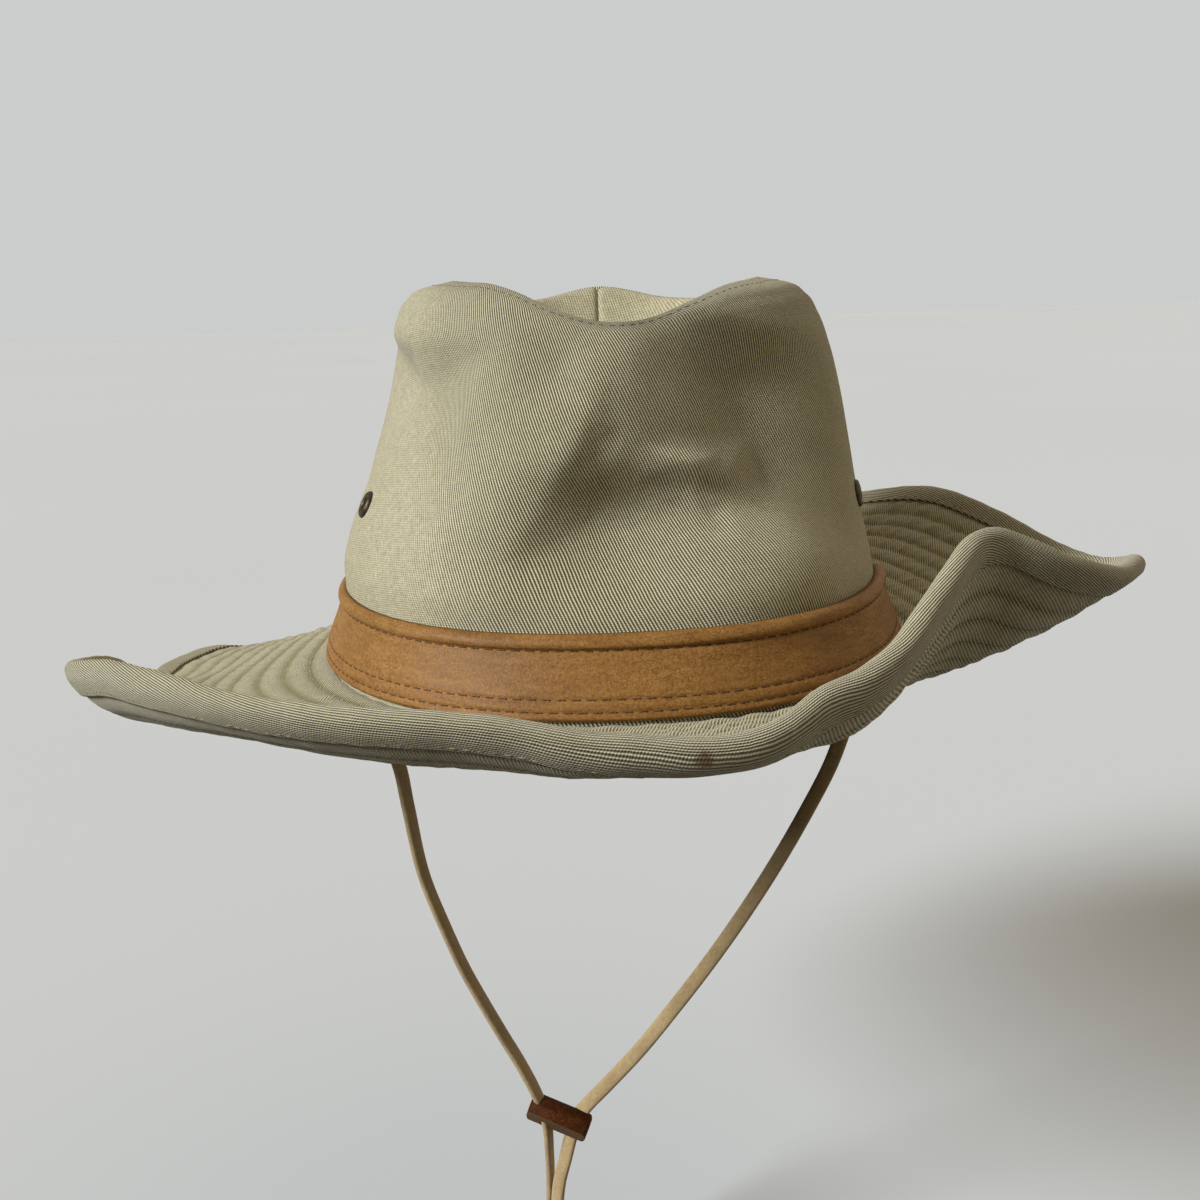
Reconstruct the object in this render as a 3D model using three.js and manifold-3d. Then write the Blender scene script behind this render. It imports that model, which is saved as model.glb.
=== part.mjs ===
// A soft cotton fedora: a crown of one side wall and a two-piece sunken tip, a quilted brim with
// a bound edge, a leather band, a vent eyelet on each side and a lace chin cord with a slider.
// Millimetres, +Z up. The front faces -Y. The origin is the middle of the head opening.
// Azimuths are degrees about +Z: 0 at +X, -90 at the front, 180 at -X.
import * as THREE from 'three';
import { mergeVertices } from 'three/addons/utils/BufferGeometryUtils.js';
import Module from 'manifold-3d';

const wasm = await Module();
wasm.setup();

// Driving dimensions.
const GAP = 0.3;
const CROWN_CLOTH = 1.6;
const OVAL_POWER = 2.2;
const COLUMNS = 64;
const ARC_PER_DEGREE = 1.4;

const SPINE_HEIGHT = 84;
const SPINE_SHARE = 0.6;
const SEAM_GAP = 0.3;
const CREST_GAP = 0.45;

const BRIM_REACH = 72;
const BRIM_CLOTH = 2.6;
const BRIM_STATIONS = [0, 0.13, 0.27, 0.41, 0.55, 0.68, 0.8];
const BINDING_CLOTH = 1.0;
const BINDING_COVER = 8;
const BRIM_WALK_STEPS = 144;

const EYELET_FLANGE_RADIUS = 4.1;
const EYELET_BARREL_RADIUS = 2.9;
const EYELET_BORE_RADIUS = 2.1;
const EYELET_FLANGE = 0.7;
const EYELET_SEAT = 0.4;
const EYELET_SIDES = 12;
const EYELET_HOLE_DEPTH = 10;

const LACE_WIDTH = 4.6;
const LACE_THICKNESS = 2.4;
const LACE_CHAMFER = 0.6;
const LACE_PLANE = -20;
const LACE_STEP = 10;
const SLIDER_LENGTH = 20.6;
const SLIDER_RADIUS = 4.6;
const SLIDER_EDGE = 0.8;
const SLIDER_TILT = 15;
const SLIDER_SIDES = 16;
const KNOT_RADIUS = 5.2;
const KNOT_HEIGHT = 10;
const KNOT_SIDES = 12;
const KNOT_ROWS = 6;

// A table's rows as objects with the named columns.
function table(columns, rows) {
  const names = columns.split(' ');
  return rows.map((row) => Object.fromEntries(row.map((value, i) => [names[i], value])));
}

// Sections of the crown wall from foot to crest: rise is the share of the crest's height there,
// and the rest are the oval's reach to the sides, the front and the rear.
const CROWN_SECTIONS = table('rise side front rear', [
  [-0.0245, 85.5, 103.1, 103.1],
  [0, 85.7, 103.3, 103.3],
  [0.14, 80.9, 97.2, 99.2],
  [0.25, 77.7, 92.0, 96.0],
  [0.41, 73.4, 84.6, 91.8],
  [0.56, 70.4, 78.0, 88.0],
  [0.71, 67.4, 71.8, 84.3],
  [0.82, 64.6, 67.2, 81.3],
  [0.905, 61.4, 63.8, 78.6],
  [0.955, 58.0, 61.9, 76.0],
  [0.987, 52.0, 60.6, 73.0],
  [1, 44.5, 60.0, 70.0],
]);

// Height of the crest round the crown, with its dip at the front.
const CREST = table('azimuth height', [
  [-135, 107.6],
  [-122, 106.8],
  [-112, 104.2],
  [-103, 100.2],
  [-90, 96.4],
  [-80, 97.0],
  [-69, 101.0],
  [-57, 104.4],
  [-40, 106.2],
  [0, 106.2],
  [32, 104],
  [52, 101],
  [70, 101.5],
  [90, 105.6],
  [107, 102],
  [128, 101.5],
  [150, 104.5],
  [180, 107.6],
]);

// Dents (positive depth) and ridges (negative) in the crown wall. Lean tips the fold's top
// towards +X at the front.
const CROWN_FOLDS = table('azimuth height length width lean depth', [
  [-140, 82, 14, 24, 0, 6.5],
  [-172, 74, 10, 34, 0, 4.5],
  [-121, 76, 24, 7, 23, -2.5],
  [-96, 53, 26, 8, 29, 4.0],
  [-66, 68, 20, 22, 10, 4.5],
  [-8, 82, 30, 46, 0, -2.6],
]);

// The sunken tip, from the crest inwards: share of the way to the spine, and of the drop.
const TIP_ROWS = table('inset drop', [
  [0.07, 0.06],
  [0.2, 0.3],
  [0.42, 0.7],
  [0.7, 0.94],
  [1, 1],
]);

// The brim's slope in degrees where it leaves the crown and at its edge. A high curl keeps the
// turn between them close to the edge.
const BRIM_SECTIONS = table('azimuth root edge curl', [
  [-171, -14, 80, 4.5],
  [-160, -7, 76, 4.8],
  [-145, 1, 73, 5],
  [-130, 6, 75, 5],
  [-118, 8, 72, 4.5],
  [-108, 3, 60, 2.2],
  [-100, -15, 44, 0.75],
  [-90, -16, 38, 0.7],
  [-83, -14, 37, 0.75],
  [-77, -8, 50, 1.1],
  [-69, 2, 67, 1.6],
  [-62, 11, 84, 1.6],
  [-53, 17, 94, 1.5],
  [-46, 16, 76, 1.8],
  [-38, 15, 60, 1.8],
  [-28, 12, 48, 1.8],
  [-12, 9, 40, 2],
  [4, 7, 30, 2],
  [16, 8, 28, 2],
  [26, 10, 36, 2],
  [37, 13, 44, 2],
  [52, 10, 34, 2],
  [72, 4, 20, 2],
  [90, -4, 0, 1.5],
  [105, -12, -14, 1],
  [118, -22, -16, 1],
  [132, -27, -14, 1],
  [145, -25, -12, 1],
  [157, -21, -8, 1.2],
  [166, -17, -4, 2.5],
  [173, -17, 10, 5],
  [180, -16, 60, 5],
]);

// The leather band's outer face: height above the opening, and how far it stands off the wall.
const BAND_FACE = table('height standoff', [
  [1.2, 2.3],
  [2.2, 2.5],
  [15.8, 2.4],
  [17.1, 2.0],
  [18.3, 3.0],
  [19.9, 3.2],
  [21.0, 2.7],
  [21.4, 1.6],
]);
const BAND_SEAT = 0.36;
const BAND_BACK = [21, 12, 1.2];

const EYELETS = [
  { side: 'left', azimuth: -155, height: 46.5 },
  { side: 'right', azimuth: -21, height: 44.5 },
];

// The lace's two runs, seen from the front: across and up, in the plane they hang in.
const LACE_ROUTES = {
  left: [
    [-76, 12], [-78.3, 4], [-78.1, -5], [-74.6, -15], [-70.2, -25], [-66.6, -36], [-64.7, -49],
    [-60.8, -73], [-55.6, -89], [-49.6, -105], [-44, -117], [-38.6, -128], [-33.3, -138.5],
    [-28.8, -149], [-26.6, -156], [-25.6, -163], [-25.3, -170], [-26.4, -180], [-28, -190],
  ],
  right: [
    [76, 12], [78.3, 4], [78.1, -5], [75, -15], [71, -26], [66, -40], [58, -56], [49, -72],
    [39, -88], [28, -104], [16, -120], [4, -135], [-6, -146.5], [-11.6, -153], [-15, -158],
    [-17.2, -164], [-19.2, -172], [-21.6, -181], [-22.8, -190],
  ],
};
const SLIDER_CENTRE = { across: -20.6, up: -156.4 };
const KNOT_TOP = -190;

// Each lace tail below the knot's middle: how far it stands aside, and its drop.
const TAIL_ROUTE = table('aside drop', [
  [1.3, 0],
  [2.1, 5],
  [3.4, 17],
]);

const radians = THREE.MathUtils.degToRad;

// Cubic through four neighbouring values, a share of the way from the second to the third.
function cubic(before, from, to, after, share) {
  const width = to.at - from.at;
  const slope = (a, b, c) => {
    const left = (b.value - a.value) / (b.at - a.at);
    const right = (c.value - b.value) / (c.at - b.at);
    const weight = (b.at - a.at) / (c.at - a.at);
    return left * (1 - weight) + right * weight;
  };
  const start = slope(before, from, to) * width;
  const end = slope(from, to, after) * width;
  const t = share;
  return from.value * (2 * t ** 3 - 3 * t ** 2 + 1) + start * (t ** 3 - 2 * t ** 2 + t)
    + to.value * (3 * t ** 2 - 2 * t ** 3) + end * (t ** 3 - t ** 2);
}

// Smooth value of a table's column at an azimuth, all the way round.
function around(rows, column, azimuth) {
  const knot = (i) => {
    const turns = Math.floor(i / rows.length);
    const row = rows[i - turns * rows.length];
    return { at: row.azimuth + 360 * turns, value: row[column] };
  };
  const first = rows[0].azimuth;
  const place = first + ((azimuth - first) % 360 + 360) % 360;
  let i = rows.length - 1;
  while (knot(i).at > place) {
    i -= 1;
  }
  const share = (place - knot(i).at) / (knot(i + 1).at - knot(i).at);
  return cubic(knot(i - 1), knot(i), knot(i + 1), knot(i + 2), share);
}

function ovalRadius(section, azimuth) {
  const turn = radians(azimuth);
  const length = Math.sin(turn) < 0 ? section.front : section.rear;
  const across = Math.abs(Math.cos(turn)) / section.side;
  const along = Math.abs(Math.sin(turn)) / length;
  return (across ** OVAL_POWER + along ** OVAL_POWER) ** (-1 / OVAL_POWER);
}

function polar(radius, azimuth, height) {
  const turn = radians(azimuth);
  return new THREE.Vector3(radius * Math.cos(turn), radius * Math.sin(turn), height);
}

// How far the folds push the crown wall in at a place.
function foldDepth(azimuth, height) {
  return CROWN_FOLDS.reduce((depth, fold) => {
    const offset = ((azimuth - fold.azimuth + 540) % 360) - 180;
    const sideways = offset * ARC_PER_DEGREE;
    const upward = height - fold.height;
    const lean = radians(fold.lean);
    const along = upward * Math.cos(lean) + sideways * Math.sin(lean);
    const across = sideways * Math.cos(lean) - upward * Math.sin(lean);
    return depth + fold.depth * Math.exp(-((along / fold.length) ** 2) - (across / fold.width) ** 2);
  }, 0);
}

function crownPoint(section, azimuth) {
  const height = section.rise * around(CREST, 'height', azimuth);
  return polar(ovalRadius(section, azimuth) - foldDepth(azimuth, height), azimuth, height);
}

// Radius of the smooth crown wall, without its folds, at a height.
function wallRadius(azimuth, height) {
  const rise = height / around(CREST, 'height', azimuth);
  const i = Math.max(1, CROWN_SECTIONS.findIndex((section) => section.rise >= rise));
  const [low, high] = [CROWN_SECTIONS[i - 1], CROWN_SECTIONS[i]];
  const share = (rise - low.rise) / (high.rise - low.rise);
  return THREE.MathUtils.lerp(ovalRadius(low, azimuth), ovalRadius(high, azimuth), share);
}

function tipPoint(row, azimuth) {
  const crest = crownPoint(CROWN_SECTIONS.at(-1), azimuth);
  const spine = new THREE.Vector3(0, crest.y * SPINE_SHARE, SPINE_HEIGHT);
  const point = crest.clone().lerp(spine, row.inset);
  point.z = THREE.MathUtils.lerp(crest.z, spine.z, row.drop);
  return point;
}

const azimuths = Array.from({ length: COLUMNS }, (_, i) => -90 + (360 / COLUMNS) * i);
const column = (i) => (i + COLUMNS) % COLUMNS;

// Outward normals of a grid of rows that each go all the way round.
function gridNormals(rows) {
  return rows.map((row, r) => row.map((_, c) => {
    const onward = row[column(c + 1)].clone().sub(row[column(c - 1)]);
    const above = rows[Math.min(r + 1, rows.length - 1)][c];
    const below = rows[Math.max(r - 1, 0)][c];
    return onward.cross(above.clone().sub(below)).normalize();
  }));
}

const shifted = (point, normal, distance) => point.clone().addScaledVector(normal, distance);

// A closed mesh from points and four-cornered faces, each split along its shorter diagonal so
// that layers that lie on each other bend along the same lines.
function solid(points, faces) {
  const positions = [];
  for (const face of faces) {
    const [a, b, c, d] = face.map((corner) => points[corner]);
    const alongFirst = a.distanceTo(c) <= b.distanceTo(d);
    const corners = alongFirst ? [a, b, c, a, c, d] : [a, b, d, b, c, d];
    positions.push(...corners.flatMap((point) => point.toArray()));
  }
  const geometry = new THREE.BufferGeometry();
  geometry.setAttribute('position', new THREE.Float32BufferAttribute(positions, 3));
  return mergeVertices(geometry, 1e-5);
}

// Quads between neighbouring sections, each a closed loop of the same number of points.
function sectionFaces(count, size, closed) {
  const faces = [];
  for (let c = 0; c < (closed ? count : count - 1); c += 1) {
    const next = (c + 1) % count;
    for (let i = 0; i < size; i += 1) {
      const j = (i + 1) % size;
      faces.push([c * size + i, next * size + i, next * size + j, c * size + j]);
    }
  }
  return faces;
}

// A hoop whose sections run counter-clockwise as seen with the hoop's outside to the right.
function hoop(sections) {
  return solid(sections.flat(), sectionFaces(sections.length, sections[0].length, true));
}

// An open sheet: each section is a row of outer points followed by the inner row backwards.
function sheet(sections) {
  const size = sections[0].length;
  const last = (sections.length - 1) * size;
  const faces = sectionFaces(sections.length, size, false);
  for (let i = 0; i + 1 < size / 2; i += 1) {
    const cap = [i, i + 1, size - 2 - i, size - 1 - i];
    faces.push(cap);
    faces.push(cap.map((corner) => last + corner).reverse());
  }
  return solid(sections.flat(), faces);
}

function manifold(geometry) {
  const bare = geometry.clone();
  bare.deleteAttribute('normal');
  bare.deleteAttribute('uv');
  const merged = mergeVertices(bare, 1e-4);
  return new wasm.Manifold(new wasm.Mesh({
    numProp: 3,
    vertProperties: new Float32Array(merged.attributes.position.array),
    triVerts: new Uint32Array(merged.index.array),
  }));
}

function fromManifold(body) {
  const mesh = body.getMesh();
  const geometry = new THREE.BufferGeometry();
  geometry.setAttribute('position', new THREE.BufferAttribute(mesh.vertProperties, 3));
  geometry.setIndex(new THREE.BufferAttribute(mesh.triVerts, 1));
  return geometry;
}

// Crown wall and tip share one grid, so that both meet along the crest.
const wallRows = CROWN_SECTIONS.map((section) => azimuths.map((a) => crownPoint(section, a)));
const tipRows = TIP_ROWS.map((row) => azimuths.map((a) => tipPoint(row, a)));
const crownNormals = gridNormals([...wallRows, ...tipRows]);
const crestIndex = wallRows.length - 1;

// The rows beside the crest take the crest's own normal, so that the inside of its fold stays open.
crownNormals[crestIndex - 1] = crownNormals[crestIndex];
crownNormals[crestIndex + 1] = crownNormals[crestIndex];

// A place on the crown wall's outside with the direction that faces out there.
function crownSeat({ azimuth, height }) {
  const at = (a, h) => polar(wallRadius(a, h) - foldDepth(a, h), a, h);
  const onward = at(azimuth + 2, height).sub(at(azimuth - 2, height));
  const upward = at(azimuth, height + 2).sub(at(azimuth, height - 2));
  return { point: at(azimuth, height), normal: onward.cross(upward).normalize() };
}

// Stands a geometry made along +Y at the origin on a seat, with +Y along the seat's normal.
function placed(geometry, seat) {
  const turn = new THREE.Quaternion().setFromUnitVectors(new THREE.Vector3(0, 1, 0), seat.normal);
  return geometry.applyQuaternion(turn).translate(...seat.point.toArray());
}

function crownWall() {
  const sections = azimuths.map((_, c) => {
    const outer = wallRows.map((row) => row[c]);
    const inner = outer.map((point, r) => shifted(point, crownNormals[r][c], -CROWN_CLOTH));
    return [...outer, ...inner.reverse()];
  });
  let wall = manifold(hoop(sections));
  for (const eyelet of EYELETS) {
    const hole = new THREE.CylinderGeometry(
      EYELET_BARREL_RADIUS + GAP, EYELET_BARREL_RADIUS + GAP, EYELET_HOLE_DEPTH, EYELET_SIDES,
    );
    wall = wall.subtract(manifold(placed(hole, crownSeat(eyelet))));
  }
  return fromManifold(wall);
}

// One half of the tip. Side is -1 for the half at -X and 1 for the half at +X.
function crownTip(side) {
  const shift = new THREE.Vector3(side * SEAM_GAP / 2, 0, 0);
  const first = side > 0 ? 0 : COLUMNS / 2;
  const sections = Array.from({ length: COLUMNS / 2 + 1 }, (_, i) => {
    const c = column(first + i);
    const onSeam = i === 0 || i === COLUMNS / 2;
    const crest = wallRows[crestIndex][c];
    const inward = tipRows[0][c].clone().sub(crest).setLength(CREST_GAP);
    const outer = [crest.clone().add(inward), ...tipRows.map((row) => row[c])];
    const inner = outer.map((point, r) => {
      const normal = crownNormals[crestIndex + r][c].clone();
      if ((onSeam && r > 0) || r === outer.length - 1) {
        normal.setX(0).normalize();
      }
      return shifted(point, normal, -CROWN_CLOTH);
    });
    return [...outer, ...inner.reverse()].map((point) => point.clone().add(shift));
  });
  return sheet(sections);
}

// Points along the brim's top from the crown to a reach, walked out at the cloth's slope.
function brimTop(azimuth, reaches) {
  const root = around(BRIM_SECTIONS, 'root', azimuth);
  const edge = around(BRIM_SECTIONS, 'edge', azimuth);
  const curl = around(BRIM_SECTIONS, 'curl', azimuth);
  const step = BRIM_REACH / BRIM_WALK_STEPS;
  const path = [{ radius: wallRadius(azimuth, 0) + GAP, height: 0 }];
  for (let i = 0; i < BRIM_WALK_STEPS; i += 1) {
    const share = (i + 0.5) / BRIM_WALK_STEPS;
    const slope = radians(root + (edge - root) * share ** curl);
    const last = path[i];
    path.push({
      radius: last.radius + step * Math.cos(slope),
      height: last.height + step * Math.sin(slope),
    });
  }
  return reaches.map((reach) => {
    const place = Math.min(reach / step, BRIM_WALK_STEPS - 1e-6);
    const [from, to] = [path[Math.floor(place)], path[Math.floor(place) + 1]];
    const share = place % 1;
    const radius = THREE.MathUtils.lerp(from.radius, to.radius, share);
    return polar(radius, azimuth, THREE.MathUtils.lerp(from.height, to.height, share));
  });
}

const bindingInside = BRIM_CLOTH / 2 + GAP;
const bindingOutside = bindingInside + BINDING_CLOTH;
const brimEdge = BRIM_REACH - bindingOutside;
const brimReaches = [
  ...BRIM_STATIONS.map((share) => share * brimEdge),
  BRIM_REACH - BINDING_COVER,
  brimEdge,
];
const brimColumns = azimuths.map((a) => brimTop(a, brimReaches));
const brimRows = brimReaches.map((_, r) => brimColumns.map((points) => points[r]));
const brimNormals = gridNormals(brimRows).map((row) => row.map((normal) => normal.negate()));

function brim() {
  const sections = azimuths.map((_, c) => {
    const top = brimRows.map((row) => row[c]);
    const under = top.map((point, r) => {
      const normal = r === 0 ? new THREE.Vector3(0, 0, 1) : brimNormals[r][c];
      return shifted(point, normal, -BRIM_CLOTH);
    });
    return [...under, ...top.reverse()];
  });
  return hoop(sections);
}

// The binding's section: a U of cloth round the brim's edge.
function brimBinding() {
  const [coverRow, edgeRow] = [brimRows.length - 2, brimRows.length - 1];
  const quarter = Math.PI / 4;
  const sections = azimuths.map((_, c) => {
    const middle = (r) => shifted(brimRows[r][c], brimNormals[r][c], -BRIM_CLOTH / 2);
    const outward = middle(edgeRow).sub(middle(coverRow)).normalize();
    const rounded = (distance, angle) => shifted(
      shifted(middle(edgeRow), brimNormals[edgeRow][c], distance * Math.sin(angle)),
      outward,
      distance * Math.cos(angle),
    );
    const flat = (distance) => shifted(middle(coverRow), brimNormals[coverRow][c], distance);
    const outer = [-2, -1, 0, 1, 2].map((k) => rounded(bindingOutside, k * quarter));
    const inner = [2, 0, -2].map((k) => rounded(bindingInside, k * quarter));
    return [
      flat(-bindingOutside), ...outer, flat(bindingOutside),
      flat(bindingInside), ...inner, flat(-bindingInside),
    ];
  });
  return hoop(sections);
}

function hatBand() {
  const sections = azimuths.map((a) => {
    const at = (height, standoff) => polar(wallRadius(a, height) + standoff, a, height);
    return [
      ...BAND_FACE.map((row) => at(row.height, row.standoff)),
      ...BAND_BACK.map((height) => at(height, BAND_SEAT)),
    ];
  });
  return hoop(sections);
}

// A rolled eyelet: a barrel through the wall with a flange on each side of it.
function eyelet(place) {
  const front = EYELET_SEAT;
  const back = -CROWN_CLOTH - EYELET_SEAT;
  const roll = EYELET_FLANGE / 2;
  const profile = [
    [EYELET_BORE_RADIUS, back - roll],
    [EYELET_BORE_RADIUS + roll, back - EYELET_FLANGE],
    [EYELET_FLANGE_RADIUS - roll, back - EYELET_FLANGE],
    [EYELET_FLANGE_RADIUS, back],
    [EYELET_BARREL_RADIUS, back],
    [EYELET_BARREL_RADIUS, front],
    [EYELET_FLANGE_RADIUS, front],
    [EYELET_FLANGE_RADIUS - roll, front + EYELET_FLANGE],
    [EYELET_BORE_RADIUS + roll, front + EYELET_FLANGE],
    [EYELET_BORE_RADIUS, front + roll],
    [EYELET_BORE_RADIUS, back - roll],
  ].map(([radius, along]) => new THREE.Vector2(radius, along));
  return placed(new THREE.LatheGeometry(profile, EYELET_SIDES), crownSeat(place));
}

function laceCurve(side) {
  const points = LACE_ROUTES[side].map(([across, up]) => new THREE.Vector3(across, LACE_PLANE, up));
  return new THREE.CatmullRomCurve3(points, false, 'centripetal');
}

// The flat lace: a chamfered strip along its route, its width across the view from the front.
function lace(curve, clearance = 0) {
  const [w, t] = [LACE_WIDTH / 2 + clearance, LACE_THICKNESS / 2 + clearance];
  const cut = LACE_CHAMFER;
  const corners = [
    [t, w - cut], [t - cut, w], [cut - t, w], [-t, w - cut],
    [-t, cut - w], [cut - t, -w], [t - cut, -w], [t, cut - w],
  ].map(([x, y]) => new THREE.Vector2(x, y));
  return new THREE.ExtrudeGeometry(new THREE.Shape(corners), {
    steps: Math.round(curve.getLength() / LACE_STEP),
    bevelEnabled: false,
    extrudePath: curve,
  });
}

const laceCurves = { left: laceCurve('left'), right: laceCurve('right') };

// The barrel slider with a tunnel for each run of the lace.
function cordSlider() {
  const half = SLIDER_LENGTH / 2;
  const profile = [
    [0, -half],
    [SLIDER_RADIUS - SLIDER_EDGE, -half],
    [SLIDER_RADIUS, SLIDER_EDGE - half],
    [SLIDER_RADIUS, half - SLIDER_EDGE],
    [SLIDER_RADIUS - SLIDER_EDGE, half],
    [0, half],
  ].map(([radius, along]) => new THREE.Vector2(radius, along));
  const barrel = new THREE.LatheGeometry(profile, SLIDER_SIDES);
  barrel.rotateZ(-Math.PI / 2);
  barrel.rotateY(radians(SLIDER_TILT));
  barrel.translate(SLIDER_CENTRE.across, LACE_PLANE, SLIDER_CENTRE.up);
  let body = manifold(barrel);
  for (const curve of Object.values(laceCurves)) {
    body = body.subtract(manifold(lace(curve, GAP)));
  }
  return fromManifold(body);
}

// The knot: a rounded lump with the two lace tails below it.
function cordKnot() {
  const ends = Object.values(laceCurves).map((curve) => curve.getPoint(1).x);
  const middle = (ends[0] + ends[1]) / 2;
  const profile = Array.from({ length: KNOT_ROWS + 1 }, (_, i) => {
    const angle = Math.PI * (i / KNOT_ROWS - 0.5);
    const radius = i === 0 || i === KNOT_ROWS ? 0 : KNOT_RADIUS * Math.cos(angle);
    return new THREE.Vector2(radius, (KNOT_HEIGHT / 2) * Math.sin(angle));
  });
  const centre = KNOT_TOP - GAP - KNOT_HEIGHT / 2;
  const lump = new THREE.LatheGeometry(profile, KNOT_SIDES);
  lump.rotateX(Math.PI / 2).translate(middle, LACE_PLANE, centre);
  let body = manifold(lump);
  for (const side of [-1, 1]) {
    const route = TAIL_ROUTE.map(({ aside, drop }) => (
      new THREE.Vector3(middle + side * aside, LACE_PLANE, centre - drop)
    ));
    body = body.add(manifold(lace(new THREE.CatmullRomCurve3(route))));
  }
  return fromManifold(body);
}

const TWILL = { color: 0xb4ab87, roughness: 0.95, metalness: 0 };
const LEATHER = { color: 0xa8703a, roughness: 0.5, metalness: 0 };
const BRONZE = { color: 0x4a4034, roughness: 0.4, metalness: 0.9 };
const SUEDE = { color: 0xa98f63, roughness: 0.95, metalness: 0 };
const DARK_LEATHER = { color: 0x4a2412, roughness: 0.6, metalness: 0 };

const PIECES = [
  ['crown_wall', crownWall(), TWILL],
  ['crown_tip_left', crownTip(-1), TWILL],
  ['crown_tip_right', crownTip(1), TWILL],
  ['brim', brim(), TWILL],
  ['brim_binding', brimBinding(), TWILL],
  ['hat_band', hatBand(), LEATHER],
  ...EYELETS.map((place) => [`eyelet_${place.side}`, eyelet(place), BRONZE]),
  ['chin_cord_left', lace(laceCurves.left), SUEDE],
  ['chin_cord_right', lace(laceCurves.right), SUEDE],
  ['cord_slider', cordSlider(), DARK_LEATHER],
  ['cord_knot', cordKnot(), SUEDE],
];

const fedora = new THREE.Group();
for (const [name, geometry, finish] of PIECES) {
  const mesh = new THREE.Mesh(geometry, new THREE.MeshStandardMaterial(finish));
  mesh.name = name;
  fedora.add(mesh);
}

export default fedora;
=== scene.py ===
# %% [markdown]
# # A cotton fedora with a chin cord
# The CAD model already has every piece at its real size. Here each cloth, leather and metal piece
# is rebuilt finely over it, in the same frame and in metres, and gets its weave, grain and stitches.

# %% Load the frame
import math

import bpy
import numpy as np
from mathutils import Matrix, Vector


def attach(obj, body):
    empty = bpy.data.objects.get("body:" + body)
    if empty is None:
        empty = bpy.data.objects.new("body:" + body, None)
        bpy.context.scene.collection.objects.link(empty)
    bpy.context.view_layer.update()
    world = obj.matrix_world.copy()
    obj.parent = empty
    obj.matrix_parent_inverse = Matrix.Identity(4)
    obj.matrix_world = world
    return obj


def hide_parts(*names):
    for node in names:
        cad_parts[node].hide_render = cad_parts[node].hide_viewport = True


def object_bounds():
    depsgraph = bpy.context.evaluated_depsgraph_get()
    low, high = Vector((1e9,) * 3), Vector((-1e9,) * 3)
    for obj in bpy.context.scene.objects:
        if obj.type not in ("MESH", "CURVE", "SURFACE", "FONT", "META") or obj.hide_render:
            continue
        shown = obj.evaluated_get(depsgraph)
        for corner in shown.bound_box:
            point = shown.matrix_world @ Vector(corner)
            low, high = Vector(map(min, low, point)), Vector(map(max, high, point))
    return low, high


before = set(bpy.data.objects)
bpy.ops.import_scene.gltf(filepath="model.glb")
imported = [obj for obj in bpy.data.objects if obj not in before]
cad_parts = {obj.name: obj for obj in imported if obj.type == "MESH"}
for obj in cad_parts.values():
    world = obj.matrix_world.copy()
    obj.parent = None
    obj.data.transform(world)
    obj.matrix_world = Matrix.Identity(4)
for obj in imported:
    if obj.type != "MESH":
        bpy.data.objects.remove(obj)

cad_low, cad_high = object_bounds()
BODY = "root"
print("CAD box", [round(high - low, 4) for low, high in zip(cad_low, cad_high)])

# %% [markdown]
# ## Camera
# The view is matched with the oval of the leather band, whose size is known. A camera could be aimed
# by hand, but writing its place and its three turns keeps the match exact.

# %% Camera
PHOTO_SIDE = 1200
FOCAL_PIXELS = 1448.5
SENSOR = 36
NEAREST = 0.01
CAMERA_PLACE = (-0.00843, -0.44408, 0.10463)
CAMERA_YAW, CAMERA_PITCH, CAMERA_ROLL = (math.radians(a) for a in (0.659, -12.1, -1.804))

forward = Vector((math.sin(CAMERA_YAW) * math.cos(CAMERA_PITCH),
                  math.cos(CAMERA_YAW) * math.cos(CAMERA_PITCH),
                  math.sin(CAMERA_PITCH)))
level = Vector((math.cos(CAMERA_YAW), -math.sin(CAMERA_YAW), 0))
above = level.cross(forward)
right = level * math.cos(CAMERA_ROLL) + above * math.sin(CAMERA_ROLL)
axes = Matrix((right, right.cross(forward), -forward)).transposed()

bpy.ops.object.camera_add(location=CAMERA_PLACE, rotation=axes.to_euler())
camera = bpy.context.object
camera.data.sensor_width = SENSOR
camera.data.lens = SENSOR * FOCAL_PIXELS / PHOTO_SIDE
camera.data.clip_start = NEAREST
bpy.context.scene.camera = camera
print("lens", round(camera.data.lens, 2))

# %% [markdown]
# ## Cloth from a flat grid
# A hat is cut from flat cloth, so every soft piece here starts as Blender's flat grid and is moved to
# its shape by a function of two shares, one along the grid and one across it. The grid's UV map is
# filled with metres of flat cloth, so that weave and grain keep their size wherever the cloth goes.

# %% Tables and smooth curves
def table(columns, rows):
    """Rows of numbers with a name for each column."""
    return np.array([tuple(row) for row in rows], dtype=[(name, float) for name in columns.split()])


def smooth(at, value, place):
    """Cubic through values, which have one spare at either end."""
    step = np.diff(at)
    rise = np.diff(value) / step
    share = step[:-1] / (step[:-1] + step[1:])
    slope = rise[:-1] * (1 - share) + rise[1:] * share
    i = np.clip(np.searchsorted(at, place, "right") - 1, 1, len(at) - 3)
    width = at[i + 1] - at[i]
    t = (place - at[i]) / width
    return (value[i] * (2 * t**3 - 3 * t**2 + 1) + slope[i - 1] * width * (t**3 - 2 * t**2 + t)
            + value[i + 1] * (3 * t**2 - 2 * t**3) + slope[i] * width * (t**3 - t**2))


def around(rows, column, azimuth):
    """Smooth value of a column at azimuths in degrees, all the way round."""
    at, value = rows["azimuth"], rows[column]
    at = np.concatenate([at[-2:] - 360, at, at[:2] + 360])
    value = np.concatenate([value[-2:], value, value[:2]])
    first = rows["azimuth"][0]
    return smooth(at, value, first + (np.asarray(azimuth) - first) % 360)


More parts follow.
